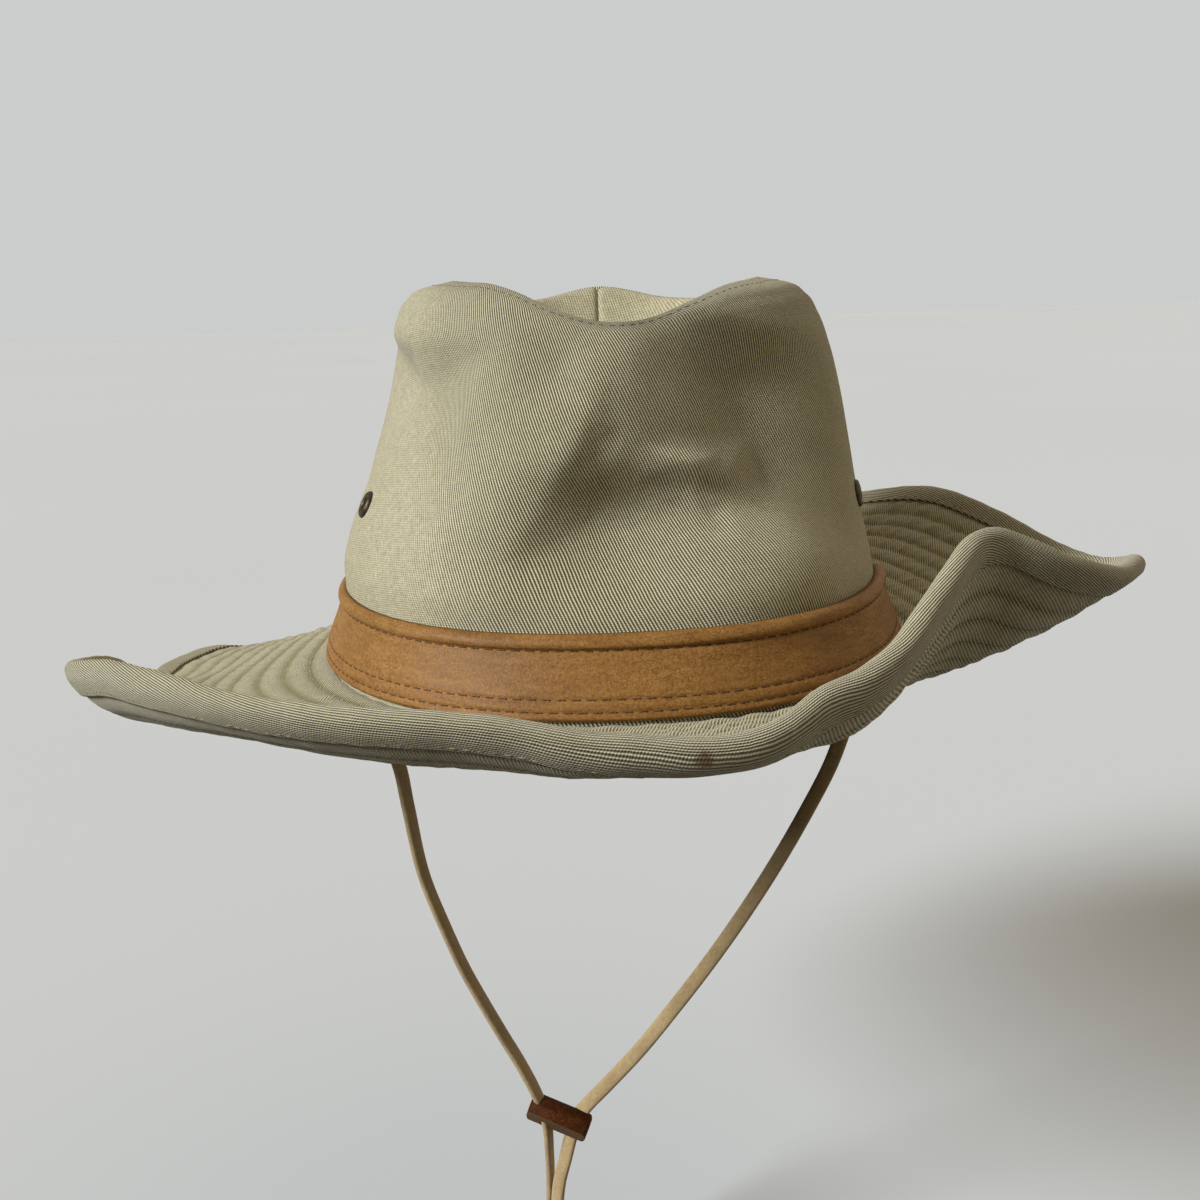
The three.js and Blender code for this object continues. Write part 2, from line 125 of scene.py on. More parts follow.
def spared(values):
    """Values with one spare at either end, straight on."""
    return np.concatenate([[2 * values[0] - values[1]], values, [2 * values[-1] - values[-2]]])


def along(rows, key, column, place):
    """Smooth value of a column at places of the key column, from the first row to the last."""
    return smooth(spared(rows[key]), spared(rows[column]), place)


def spread(values, count):
    """Values spread evenly over a count of places."""
    return np.interp(np.linspace(0, 1, count), np.linspace(0, 1, len(values)), values)


def polar(radius, azimuth, height):
    turn = np.radians(azimuth)
    return np.stack(np.broadcast_arrays(radius * np.cos(turn), radius * np.sin(turn), height), axis=-1)


def unit(vectors):
    return vectors / np.linalg.norm(vectors, axis=-1, keepdims=True)


def walked(line):
    """Metres walked from the start of a line to each of its points."""
    return np.concatenate([[0], np.cumsum(np.linalg.norm(np.diff(line, axis=0), axis=1))])


def ease(value):
    """0 below 0, 1 above 1 and soft in between."""
    t = np.clip(value, 0, 1)
    return t * t * (3 - 2 * t)


def bell(value, width):
    """1 at 0 and nearly 0 at twice the width."""
    return np.exp(-((value / width) ** 2))


# %% Moving a grid to its shape
SAME_POINT = 1e-6
SHARE_DIGITS = 7


def deselect():
    bpy.ops.object.select_all(action="DESELECT")


def edit_all():
    """Goes into edit mode with everything selected."""
    bpy.ops.object.mode_set(mode="EDIT")
    bpy.ops.mesh.select_all(action="SELECT")


def leave_edit():
    bpy.ops.object.mode_set(mode="OBJECT")


def named(piece, name):
    piece.name = piece.data.name = name
    return piece


def grid(name, columns, rows, place, pattern, **marks):
    """A flat grid moved to place(share, rise), with pattern(share, rise) as its UV map in metres.

    Each mark is one more function of the shares, kept at the points under its name."""
    deselect()
    bpy.ops.mesh.primitive_grid_add(x_subdivisions=columns, y_subdivisions=rows, size=2)
    piece = named(bpy.context.object, name)
    mesh = piece.data
    flat = np.empty(3 * len(mesh.vertices))
    mesh.vertices.foreach_get("co", flat)
    share, rise = np.round((flat.reshape(-1, 3)[:, :2].T + 1) / 2, SHARE_DIGITS)
    corners = np.empty(len(mesh.loops), int)
    mesh.loops.foreach_get("vertex_index", corners)
    mesh.uv_layers[0].data.foreach_set("uv", np.stack(pattern(share, rise), axis=1)[corners].ravel())
    mesh.vertices.foreach_set("co", place(share, rise).ravel())
    for mark, value in marks.items():
        mesh.attributes.new(mark, "FLOAT", "POINT").data.foreach_set("value", value(share, rise))
    edit_all()
    bpy.ops.mesh.remove_doubles(threshold=SAME_POINT)
    leave_edit()
    bpy.ops.object.shade_smooth()
    return piece


def modify(piece, kind, **settings):
    """Adds a modifier to a piece and applies it."""
    change = piece.modifiers.new(kind.lower(), kind)
    for name, setting in settings.items():
        setattr(change, name, setting)
    bpy.context.view_layer.objects.active = piece
    bpy.ops.object.modifier_apply(modifier=change.name)


def thicken(piece, thickness):
    """Gives a sheet its cloth's thickness, inwards from the face that is modelled."""
    modify(piece, "SOLIDIFY", thickness=thickness, offset=-1)


def pick_faces(piece, wanted):
    """Goes into edit mode with only the wanted faces selected."""
    bpy.context.view_layer.objects.active = piece
    bpy.ops.object.mode_set(mode="EDIT")
    bpy.ops.mesh.select_mode(type="FACE")
    bpy.ops.mesh.select_all(action="DESELECT")
    leave_edit()
    for face in piece.data.polygons:
        face.select = wanted(face)
    bpy.ops.object.mode_set(mode="EDIT")


def finished(piece, finish, slot, *nodes):
    """A piece in its material, on its body, in place of its CAD nodes."""
    piece.data.materials.clear()
    piece.data.materials.append(finish)
    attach(piece, BODY)
    if nodes:
        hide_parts(*nodes)
    print(piece.name, len(piece.data.polygons), "faces")
    return piece


# %% [markdown]
# ## Materials
# A shader is a sum of small steps. A class that wraps a socket lets those steps be written as plain
# sums, so a line of Python reads as the recipe of the finish.

# %% Shader sums
class Value:
    """A socket of a finish that takes part in sums."""

    def __init__(self, finish, socket):
        self.finish = finish
        self.socket = socket

    def sum(self, operation, first, second):
        return self.finish.node("ShaderNodeMath", {"operation": operation}, {0: first, 1: second})

    def __add__(self, other):
        return self.sum("ADD", self, other)

    def __sub__(self, other):
        return self.sum("SUBTRACT", self, other)

    def __rsub__(self, other):
        return self.sum("SUBTRACT", other, self)

    def __mul__(self, other):
        return self.sum("MULTIPLY", self, other)

    def __abs__(self):
        return self.sum("ABSOLUTE", self, 0)

    __radd__ = __add__
    __rmul__ = __mul__


class Recipe:
    """A tree of nodes and the one method that adds nodes to it."""

    def __init__(self, tree):
        self.tree = tree

    def feed(self, socket, value):
        if isinstance(value, Value):
            self.tree.links.new(value.socket, socket)
        else:
            socket.default_value = value

    def node(self, kind, settings, inputs, output=0):
        node = self.tree.nodes.new(kind)
        for name, setting in settings.items():
            if name == "stops":
                for _ in range(len(setting) - 2):
                    node.color_ramp.elements.new(0.5)
                for element, (place, colour) in zip(node.color_ramp.elements, setting):
                    element.position = place
                    element.color = colour
            else:
                setattr(node, name, setting)
        for name, value in inputs.items():
            self.feed(node.inputs[name], value)
        return Value(self, node.outputs[output])

    def step(self, value, low, high):
        """0 below low, 1 above high and soft in between."""
        return self.node("ShaderNodeMapRange", {"interpolation_type": "SMOOTHSTEP"}, {
            "Value": value, "From Min": low, "From Max": high})


class Finish(Recipe):
    """The recipe of a material."""

    def __init__(self, name, roughness, **constants):
        self.material = bpy.data.materials.new(name)
        self.material.use_nodes = True
        super().__init__(self.material.node_tree)
        self.shader = self.tree.nodes["Principled BSDF"]
        self.shader.inputs["Roughness"].default_value = roughness
        for socket, constant in constants.items():
            self.shader.inputs[socket.replace("_", " ")].default_value = constant

    def cloth_place(self):
        """The UV map: metres along and across the flat cloth."""
        uv = self.node("ShaderNodeUVMap", {}, {})
        return [self.node("ShaderNodeSeparateXYZ", {}, {0: uv}, part) for part in (0, 1)]

    def object_place(self):
        return self.node("ShaderNodeTexCoord", {}, {}, 3)

    def mark(self, name):
        """A value that the piece's points carry."""
        return self.node("ShaderNodeAttribute", {"attribute_name": name}, {}, 2)

    def noise(self, place, size, detail=2.0, roughness=0.5, stretch=(1, 1, 1)):
        """Soft noise from 0 to 1, with blotches of about this size in metres."""
        placed = self.node("ShaderNodeMapping", {}, {"Vector": place, "Scale": stretch})
        return self.node("ShaderNodeTexNoise", {}, {
            "Vector": placed, "Scale": 0.5 / size, "Detail": detail, "Roughness": roughness})

    def wave(self, place):
        """A sine from 0 to 1."""
        return self.node("ShaderNodeMath", {"operation": "SINE"}, {0: place}) * 0.5 + 0.5

    def ramp(self, value, *stops):
        return self.node("ShaderNodeValToRGB", {"stops": [(at, (*c, 1)) for at, c in stops]}, {0: value})

    def mix(self, share, first, second, blend="MIX"):
        colours = [c if isinstance(c, Value) else (*c, 1) for c in (first, second)]
        return self.node("ShaderNodeMix", {"data_type": "RGBA", "blend_type": blend}, {
            0: share, 6: colours[0], 7: colours[1]}, 2)

    def done(self, colour, height, depth, roughness=None):
        """Feeds the shader: a height from 0 to 1 stands depth metres high."""
        self.feed(self.shader.inputs["Base Color"], colour)
        bump = self.node("ShaderNodeBump", {}, {"Strength": 1.0, "Distance": depth, "Height": height})
        self.feed(self.shader.inputs["Normal"], bump)
        if roughness is not None:
            self.feed(self.shader.inputs["Roughness"], roughness)
        return self.material


# %% [markdown]
# ### Cotton twill
# Twill is woven in fine diagonal ribs, less than a millimetre apart. An image would blur close up, so
# a sine across the ribs gives both their height and the dark gaps between them; the gaps' dark colour
# is partly the weave's own and partly painted shade in the grooves. At the left, where the window light
# falls straight on the cloth, the ribs and their painted shade fade, and on quilted cloth they show most
# at the stitches, whose rows are darkened with painted shade.

# %% Twill
RIB_PITCH = 0.0008
RIB_DEPTH = 0.00028
KHAKI_RIB = (0.61, 0.54, 0.35)
# The rib colour and the gap colour; the gap colour is partly the weave's own and partly painted shade in the
# grooves between ribs.
KHAKI_GAP_SHADE = (0.085, 0.07, 0.034)
LIT_LEFT_RIBS, QUILTED_RIBS = 0.1, 0.45
RIB_WANDER, WANDER_SIZE = 0.0006, 0.004
FLOAT_PITCH = 0.8 * RIB_PITCH
FIBRE_SIZE, SLUB_SIZE, FADE_SIZE = 0.0005, 0.0015, 0.03
RIB_TONE, FLOAT_TONE, FIBRE_TONE, SLUB_TONE = 0.95, 0.14, 0.5, 0.15
FLOAT_HEIGHT, FIBRE_HEIGHT = 0.25, 0.4
FADE_LEAST, FADE_SPAN, ROW_SHADE = 0.9, 0.2, 0.3
STAIN_CORE, STAIN_STRENGTH = 0.4, 0.85


def twill(name, rib_angle, ribs=1.0, lit_left_fade=None, quilted=False, stain=None):
    """Ribs fall to the right at this angle from the cloth's width, and may fade at the left, where light
    falls straight on.
    """
    cloth = Finish(name, 0.92, Sheen_Weight=0.12, Sheen_Roughness=0.5)
    across, up = cloth.cloth_place()
    where = cloth.object_place()
    angle = math.radians(rib_angle)
    over_ribs = across * math.sin(angle) + up * math.cos(angle)
    along_ribs = up * math.sin(angle) - across * math.cos(angle)
    uneven = cloth.noise(where, WANDER_SIZE) * RIB_WANDER
    turn = (over_ribs + uneven) * (2 * math.pi / RIB_PITCH)
    rib = cloth.wave(turn)
    floats = cloth.wave(along_ribs * (2 * math.pi / FLOAT_PITCH) + turn * 0.5)
    fibre = cloth.noise(where, FIBRE_SIZE, 3.0, 0.7)
    faded = cloth.noise(where, FADE_SIZE)
    slub = cloth.noise(where, SLUB_SIZE)
    shown = ribs
    # At the left, where the window light falls straight on, the ribs and their painted shade fade.
    if lit_left_fade:
        sideways = cloth.node("ShaderNodeSeparateXYZ", {}, {0: where})
        shown = shown * (cloth.step(sideways, *lit_left_fade) * (1 - LIT_LEFT_RIBS) + LIT_LEFT_RIBS)
    wear_and_row_shade = faded * FADE_SPAN + FADE_LEAST
    if quilted:
        row = cloth.mark("stitch_row")
        shown = shown * (row * (1 - QUILTED_RIBS) + QUILTED_RIBS)
        # The cloth is darkened along the rows of quilting stitches, where it sinks into grooves: painted
        # shade.
        wear_and_row_shade = wear_and_row_shade * (1 - row * ROW_SHADE)
    lit = ((rib - 0.5) * shown * RIB_TONE + (floats - 0.5) * FLOAT_TONE + (fibre - 0.5) * FIBRE_TONE
           + (slub - 0.5) * SLUB_TONE + 0.5)
    colour = cloth.mix(cloth.step(lit, 0.0, 1.0), KHAKI_GAP_SHADE, KHAKI_RIB)
    tint = cloth.node("ShaderNodeCombineXYZ", {}, {0: wear_and_row_shade, 1: wear_and_row_shade, 2: wear_and_row_shade * wear_and_row_shade})
    colour = cloth.mix(1.0, colour, tint, "MULTIPLY")
    if stain:
        place, size, brown = stain
        away = cloth.node("ShaderNodeVectorMath", {"operation": "DISTANCE"}, {0: where, 1: place}, 1)
        spot = 1 - cloth.step(away + (fibre - 0.5) * size, STAIN_CORE * size, size)
        colour = cloth.mix(spot * STAIN_STRENGTH, colour, brown)
    return cloth.done(colour, rib * shown + floats * FLOAT_HEIGHT + fibre * FIBRE_HEIGHT, RIB_DEPTH)


# %% [markdown]
# ### Leather, suede, bronze and thread
# The band is smooth leather with a fine grain and soft blotches, the lace is suede with a
# short nap, and the slider is rolled leather that wear has darkened. Thread and metal are small, so
# a little noise in their colour and gloss is enough.

# %% Leather
BAND_TAN = (0.235, 0.108, 0.024)
BAND_PALE = (0.36, 0.185, 0.055)
BAND_DEEP = (0.125, 0.048, 0.009)
SLIDER_BROWN = (0.06, 0.016, 0.004)
SLIDER_PALE = (0.14, 0.045, 0.012)
SLIDER_DEEP = (0.02, 0.006, 0.002)
SLIDER_RAW = (0.13, 0.075, 0.035)
GRAIN_SIZE, SPECK_SIZE, STREAK_SIZE, BLOTCH_SIZE, BEND_SIZE = 0.00045, 0.00022, 0.005, 0.022, 0.003
STREAK_STRETCH, BEND_STRETCH = (1, 1, 6), (1, 1, 3)
WRINKLE_WIDTH, WRINKLE_FROM, WRINKLE_TO = 0.045, 0.42, 0.62
BLOTCH_TONE, STREAK_TONE, GRAIN_TONE, SPECK_TONE, WRINKLE_SHADE = 0.7, 0.6, 0.8, 0.8, 0.12
GRAIN_HEIGHT, SPECK_HEIGHT, STREAK_HEIGHT, WRINKLE_HEIGHT = 0.6, 0.4, 0.8, 0.6
GRAIN_DEPTH = 0.00018
GRAIN_GLOSS, BLOTCH_GLOSS, RAW_STRENGTH = 0.35, 0.2, 0.85


def leather(name, pale, mid, deep, roughness, shine, raw=None):
    """Raw is the colour of cut edges, which a piece marks."""
    hide = Finish(name, roughness, Specular_IOR_Level=shine)
    where = hide.object_place()
    grain = hide.noise(where, GRAIN_SIZE, 3.0, 0.7)
    specks = hide.noise(where, SPECK_SIZE, 2.0, 0.6)
    streaks = hide.noise(where, STREAK_SIZE, 4.0, 0.65, STREAK_STRETCH)
    blotch = hide.noise(where, BLOTCH_SIZE, 4.0, 0.6)
    bend = hide.noise(where, BEND_SIZE, 3.0, 0.6, BEND_STRETCH)
    folded = 1 - hide.step(abs(bend - 0.5), 0.0, WRINKLE_WIDTH)
    wrinkle = folded * hide.step(blotch, WRINKLE_FROM, WRINKLE_TO)
    # The wrinkles are sunk into the bump and darkened in colour: painted shade in the creases.
    tone = (0.5 + (blotch - 0.5) * BLOTCH_TONE + (streaks - 0.5) * STREAK_TONE + (grain - 0.5) * GRAIN_TONE
            + (specks - 0.5) * SPECK_TONE - wrinkle * WRINKLE_SHADE)
    colour = hide.ramp(tone, (0.15, deep), (0.5, mid), (0.9, pale))
    if raw:
        colour = hide.mix(hide.mark("raw_edge") * RAW_STRENGTH, colour, raw)
    gloss = roughness + (grain - 0.5) * GRAIN_GLOSS + (blotch - 0.5) * BLOTCH_GLOSS
    height = grain * GRAIN_HEIGHT + specks * SPECK_HEIGHT + streaks * STREAK_HEIGHT - wrinkle * WRINKLE_HEIGHT
    return hide.done(colour, height, GRAIN_DEPTH, gloss)


# %% Suede, bronze and thread
NAP_SIZE, DRIFT_SIZE, NAP_DEPTH = 0.0006, 0.006, 0.0003
NAP_TONE, DRIFT_TONE = 0.6, 0.5
BRONZE_DARK, BRONZE_RUBBED = (0.03, 0.023, 0.016), (0.13, 0.095, 0.055)
RUB_SIZE, RUB_DEPTH = 0.0012, 0.00005
BRONZE_GLOSS, RUB_GLOSS = 0.3, 0.35
TWIST_SIZE, TWIST_DEPTH = 0.0004, 0.0001


def suede(name, pale, deep):
    nap = Finish(name, 0.97, Sheen_Weight=0.25, Sheen_Roughness=0.6)
    where = nap.object_place()
    fuzz = nap.noise(where, NAP_SIZE, 4.0, 0.75)
    drift = nap.noise(where, DRIFT_SIZE, 3.0, 0.6)
    colour = nap.ramp(fuzz * NAP_TONE + drift * DRIFT_TONE, (0.3, deep), (0.85, pale))
    return nap.done(colour, fuzz, NAP_DEPTH)


def bronze(name):
    metal = Finish(name, 0.42, Metallic=0.9)
    rub = metal.noise(metal.object_place(), RUB_SIZE, 3.0, 0.6)
    colour = metal.ramp(rub, (0.35, BRONZE_DARK), (0.7, BRONZE_RUBBED))
    return metal.done(colour, rub, RUB_DEPTH, BRONZE_GLOSS + rub * RUB_GLOSS)


def thread(name, pale, deep):
    yarn = Finish(name, 0.8)
    twist = yarn.noise(yarn.object_place(), TWIST_SIZE, 2.0, 0.6)
    return yarn.done(yarn.ramp(twist, (0.3, deep), (0.75, pale)), twist, TWIST_DEPTH)


# %% Finishes of the hat
CROWN_RIBS = 66
BRIM_RIBS = 105
# Left of these places on the crown the ribs and their painted shade fade, as the window light falls straight
# on them.
LIT_LEFT_EDGE, TIP_RIBS = (-0.058, -0.036), 0.3
STAIN_PLACE = (0.0142, -0.1742, 0.0139)
STAIN_SIZE = 0.0026
STAIN_BROWN = (0.11, 0.05, 0.015)

crown_twill = twill("crown_twill", CROWN_RIBS, lit_left_fade=LIT_LEFT_EDGE)
tip_twill = twill("tip_twill", CROWN_RIBS, ribs=TIP_RIBS)
brim_twill = twill("brim_twill", BRIM_RIBS, quilted=True)
binding_twill = twill("binding_twill", 0, stain=(STAIN_PLACE, STAIN_SIZE, STAIN_BROWN))
band_leather = leather("band_leather", BAND_PALE, BAND_TAN, BAND_DEEP, 0.58, 0.22)
slider_leather = leather("slider_leather", SLIDER_PALE, SLIDER_BROWN, SLIDER_DEEP, 0.6, 0.06, SLIDER_RAW)
lace_suede = suede("lace_suede", (0.50, 0.36, 0.175), (0.24, 0.15, 0.06))
eyelet_bronze = bronze("eyelet_bronze")
khaki_thread = thread("khaki_thread", (0.36, 0.31, 0.19), (0.18, 0.15, 0.085))
# Painted shade: the khaki thread darkened, for the stitches on the brim's underside and under the crest.
painted_shade_thread = thread("painted_shade_thread", (0.12, 0.098, 0.052), (0.045, 0.035, 0.017))
hole_shade = thread("hole_shade", (0.03, 0.013, 0.005), (0.008, 0.004, 0.002))
brown_thread = thread("brown_thread", (0.115, 0.046, 0.011), (0.045, 0.016, 0.005))
print(len(bpy.data.materials), "materials")

# %% [markdown]
# ## Chin cord
# The cord is one flat suede lace whose two runs hang from inside the crown, pass through a slider
# and end in a knot. A curve with a round bevel would look like string, so a grid is wrapped round
# each route as a rounded strip. Each route follows the CAD lace, and below the
# slider one run crosses in front of the other.

# %% Lace routes
LACE_PLANE = -0.020
LACE_WIDTH = 0.0046
LACE_THICKNESS = 0.0022
LACE_CORNER = 3.2
LACE_SIDES = 20
LACE_STEPS = 150
TAPER_FROM = 0.75
LACE_TURNS = {"left": (0, 36, 50, 60, 60, 60, 66, 78), "right": (0, -12, -22, -26, -26, -26, -34, -40)}
LACE_CROSS = {"left": 0.0014, "right": -0.0014}
CROSS_FROM, CROSS_DROP = -0.163, 0.012
LACE_ROUTES = {
    "left": [
        (-0.0760, 0.0120), (-0.0783, 0.0040), (-0.0781, -0.0050), (-0.0746, -0.0150), (-0.0702, -0.0250),
        (-0.0666, -0.0360), (-0.0647, -0.0490), (-0.0608, -0.0730), (-0.0556, -0.0890), (-0.0496, -0.1050),
        (-0.0440, -0.1170), (-0.0386, -0.1280), (-0.0333, -0.1385), (-0.0288, -0.1490), (-0.0266, -0.1560),
        (-0.0258, -0.1620), (-0.0257, -0.1690), (-0.0257, -0.1770), (-0.0263, -0.1926)],
    "right": [
        (0.0760, 0.0120), (0.0783, 0.0040), (0.0781, -0.0050), (0.0750, -0.0150), (0.0710, -0.0260),
        (0.0660, -0.0400), (0.0580, -0.0560), (0.0490, -0.0720), (0.0390, -0.0880), (0.0280, -0.1040),
        (0.0160, -0.1200), (0.0040, -0.1350), (-0.0066, -0.1465), (-0.0128, -0.1530), (-0.0166, -0.1580),
        (-0.0186, -0.1645), (-0.0204, -0.1710), (-0.0225, -0.1785), (-0.0242, -0.1926)],
}


def route_points(points, steps):
    """Points along a smooth line through a route, evenly spaced."""
    points = np.asarray(points, float)
    at = walked(points)
    place = np.linspace(0, at[-1], steps)
    return np.stack([smooth(spared(at), spared(part), place) for part in points.T], axis=1)


def strip(name, line, turns, room=0.0, facing=(0, -1, 0), taper=0.0):
    """A piece of lace along a line. Turns, in degrees along it, roll its wide face away from facing."""
    width, thickness = LACE_WIDTH + room, LACE_THICKNESS + room
    ahead = unit(np.gradient(line, axis=0))
    broad = unit(np.cross(ahead, np.broadcast_to(facing, ahead.shape)))
    deep = np.cross(broad, ahead)
    roll = np.radians(spread(turns, len(line)))[:, None]
    broad, deep = broad * np.cos(roll) + deep * np.sin(roll), deep * np.cos(roll) - broad * np.sin(roll)
    girth = 2 * (width + thickness)
    length = walked(line)[-1]

    def place(share, rise):
        i = np.round(share * (len(line) - 1)).astype(int)
        angle = 2 * math.pi * rise
        corner = np.abs(np.cos(angle)) ** LACE_CORNER + np.abs(np.sin(angle)) ** LACE_CORNER
        size = corner ** (-1 / LACE_CORNER)
        end = 1 - taper * ease((share - TAPER_FROM) / (1 - TAPER_FROM))
        aside = broad[i] * (size * end * np.cos(angle) * width / 2)[:, None]
        return line[i] + aside - deep[i] * (size * np.sin(angle) * thickness / 2)[:, None]

    piece = grid(name, len(line) - 1, LACE_SIDES, place, lambda share, rise: (share * length, rise * girth))
    edit_all()
    bpy.ops.mesh.fill_holes(sides=0)
    bpy.ops.mesh.normals_make_consistent(inside=False)
    leave_edit()
    return piece, length


laces, lines, turns = {}, {}, {}
for side, route in LACE_ROUTES.items():
    crossing = [float(ease((CROSS_FROM - up) / CROSS_DROP)) * LACE_CROSS[side] for _, up in route]
    route = [(across, LACE_PLANE + step, up) for (across, up), step in zip(route, crossing)]
    lines[side] = route_points(route, LACE_STEPS)
    turns[side] = spread(LACE_TURNS[side], LACE_STEPS)
    lace, length = strip(f"lace_{side}", lines[side], turns[side])
    laces[side] = finished(lace, lace_suede, "suede", f"chin_cord_{side}"), length
    print("lace", side, round(length, 3), "m")

# %% [markdown]
# ### Slider and knot
# The slider is a short roll of thick leather with a flat foot, and the lace runs through two holes in
# it. It starts as a cylinder, its rolled ends are inset in rings, and two fatter pieces of the lace's own
# line cut the holes. The knot is the lace itself, wrapped round its two ends, which come out below it.

# %% Slider
SLIDER_CENTRE = Vector((-0.0220, LACE_PLANE - 0.0010, -0.1566))
SLIDER_LENGTH, SLIDER_RADIUS = 0.0184, 0.0047
SLIDER_TURN, SLIDER_TILT, SLIDER_ROLL = (math.radians(a) for a in (-14, 19, -54))
SLIDER_SIDES, SLIDER_SHARP = 48, math.radians(50)
SLIDER_FOOT = -0.0034
END_FACING, FOOT_FACING = 0.9, 0.98
HOLE_ROOM, HOLE_REACH = 0.0007, 0.9
ROLL_RINGS = ((0.0005, 0.0006), (0.0008, 0.0003), (0.0009, -0.0004), (0.0008, 0.0003), (0.0006, -0.0003))


def add_cut(piece, cutter):
    """Cuts another piece out of a piece and throws it away."""
    modify(piece, "BOOLEAN", object=cutter, solver="EXACT")
    bpy.data.objects.remove(cutter)


deselect()
bpy.ops.mesh.primitive_cylinder_add(vertices=SLIDER_SIDES, radius=SLIDER_RADIUS, depth=SLIDER_LENGTH)
slider = named(bpy.context.object, "cord_slider_leather")
for end in (-1, 1):
    pick_faces(slider, lambda face: face.normal.z * end > END_FACING)
    for width, push in ROLL_RINGS:
        bpy.ops.mesh.inset(thickness=width, depth=push)
    leave_edit()
edit_all()
bpy.ops.mesh.select_mode(type="VERT")
bpy.ops.transform.rotate(value=math.pi / 2, orient_axis="Y", center_override=(0, 0, 0))
leave_edit()
for vertex in slider.data.vertices:
    vertex.co.z = max(vertex.co.z, SLIDER_FOOT)
slider_turn = (Matrix.Rotation(SLIDER_TURN, 3, "Z") @ Matrix.Rotation(SLIDER_TILT, 3, "Y")
               @ Matrix.Rotation(SLIDER_ROLL, 3, "X"))
slider.data.transform(Matrix.Translation(SLIDER_CENTRE) @ slider_turn.to_4x4())
for side, line in lines.items():
    near = np.linalg.norm(line - np.array(SLIDER_CENTRE), axis=1) < HOLE_REACH * SLIDER_LENGTH
    cutter, _ = strip(f"cutter_{side}", line[near], turns[side][near], room=HOLE_ROOM)
    add_cut(slider, cutter)
deselect()
slider.select_set(True)
bpy.ops.object.shade_smooth_by_angle(angle=SLIDER_SHARP)
raw_edge = slider.data.attributes.new("raw_edge", "FLOAT", "FACE")
foot = slider_turn @ Vector((0, 0, -1))
for face in slider.data.polygons:
    raw_edge.data[face.index].value = float(face.normal.dot(foot) > FOOT_FACING)
finished(slider, slider_leather, "slider_leather", "cord_slider")

# %% Knot
KNOT_CENTRE = np.array((-0.0253, LACE_PLANE, -0.1953))
KNOT_RADIUS, KNOT_HEIGHT, KNOT_STEPS = 0.0037, 0.0052, 90
KNOT_START, KNOT_TURNS, WRAP_ROLL = -0.2, 1.6, 90
TAIL_ROUTE = ((0.0012, 0.003), (0.0014, -0.004), (0.0024, -0.010), (0.0034, -0.017))
TAIL_STEPS, TAIL_ROLL, TAIL_END_ROLL, TAIL_TAPER = 24, 75, 10, 0.3
turn = np.linspace(KNOT_START, KNOT_TURNS, KNOT_STEPS)
wrap = KNOT_CENTRE + polar(KNOT_RADIUS, 360 * turn, KNOT_HEIGHT * (turn / KNOT_TURNS - 0.5))
knot, _ = strip("knot_wrap", wrap, [WRAP_ROLL, WRAP_ROLL], facing=(0, 0, 1))
on_cord = [slider, finished(knot, lace_suede, "suede", "cord_knot")]
for side, sign in (("left", -1), ("right", 1)):
    tail = route_points([KNOT_CENTRE + (sign * aside, 0, up) for aside, up in TAIL_ROUTE], TAIL_STEPS)
    rolls = [-sign * TAIL_ROLL, TAIL_END_ROLL]
    piece, _ = strip(f"knot_tail_{side}", tail, rolls, taper=TAIL_TAPER)
    on_cord.append(finished(piece, lace_suede, "suede"))

# %% Cords
print(len(on_cord), "pieces on the cord")

# %% [markdown]
# ## Crown
# The crown's wall is an oval that narrows towards the crest, pinched in at the left and creased at the
# front. Stiff cotton folds in flat facets, so each dent is one row of a table: four slopes that fall from
# its middle to its rims, where a small number means a crisp edge and a large one a soft edge. A negative
# depth makes a ridge.

# %% Crown wall
OVAL_POWER = 2.2
CROWN_CLOTH = 0.0016
CROWN_COLUMNS = 360
CROWN_ROWS = 120
ARC_PER_DEGREE = 0.0014
PROFILE_AZIMUTH, PROFILE_STEPS = -30.0, 400
CROWN_SECTIONS = table("rise side front rear", [
    (-0.0245, 0.0855, 0.1031, 0.1031), (0.0, 0.0857, 0.1033, 0.1033), (0.14, 0.0809, 0.0972, 0.0992),
    (0.25, 0.0777, 0.0920, 0.0960), (0.41, 0.0734, 0.0846, 0.0918), (0.56, 0.0704, 0.0780, 0.0880),
    (0.71, 0.0674, 0.0718, 0.0843), (0.82, 0.0646, 0.0672, 0.0813), (0.905, 0.0614, 0.0638, 0.0786),
    (0.955, 0.0580, 0.0619, 0.0760), (0.987, 0.0520, 0.0606, 0.0730), (1.0, 0.0445, 0.0600, 0.0700),
])
CREST = table("azimuth height", [
    (-135, 0.1076), (-122, 0.1068), (-112, 0.1042), (-103, 0.1002), (-90, 0.0964), (-80, 0.0970),
    (-69, 0.1010), (-57, 0.1044), (-40, 0.1062), (0, 0.1062), (32, 0.1040), (52, 0.1010), (70, 0.1015),
    (90, 0.1056), (107, 0.1020), (128, 0.1015), (150, 0.1045), (180, 0.1076),
])
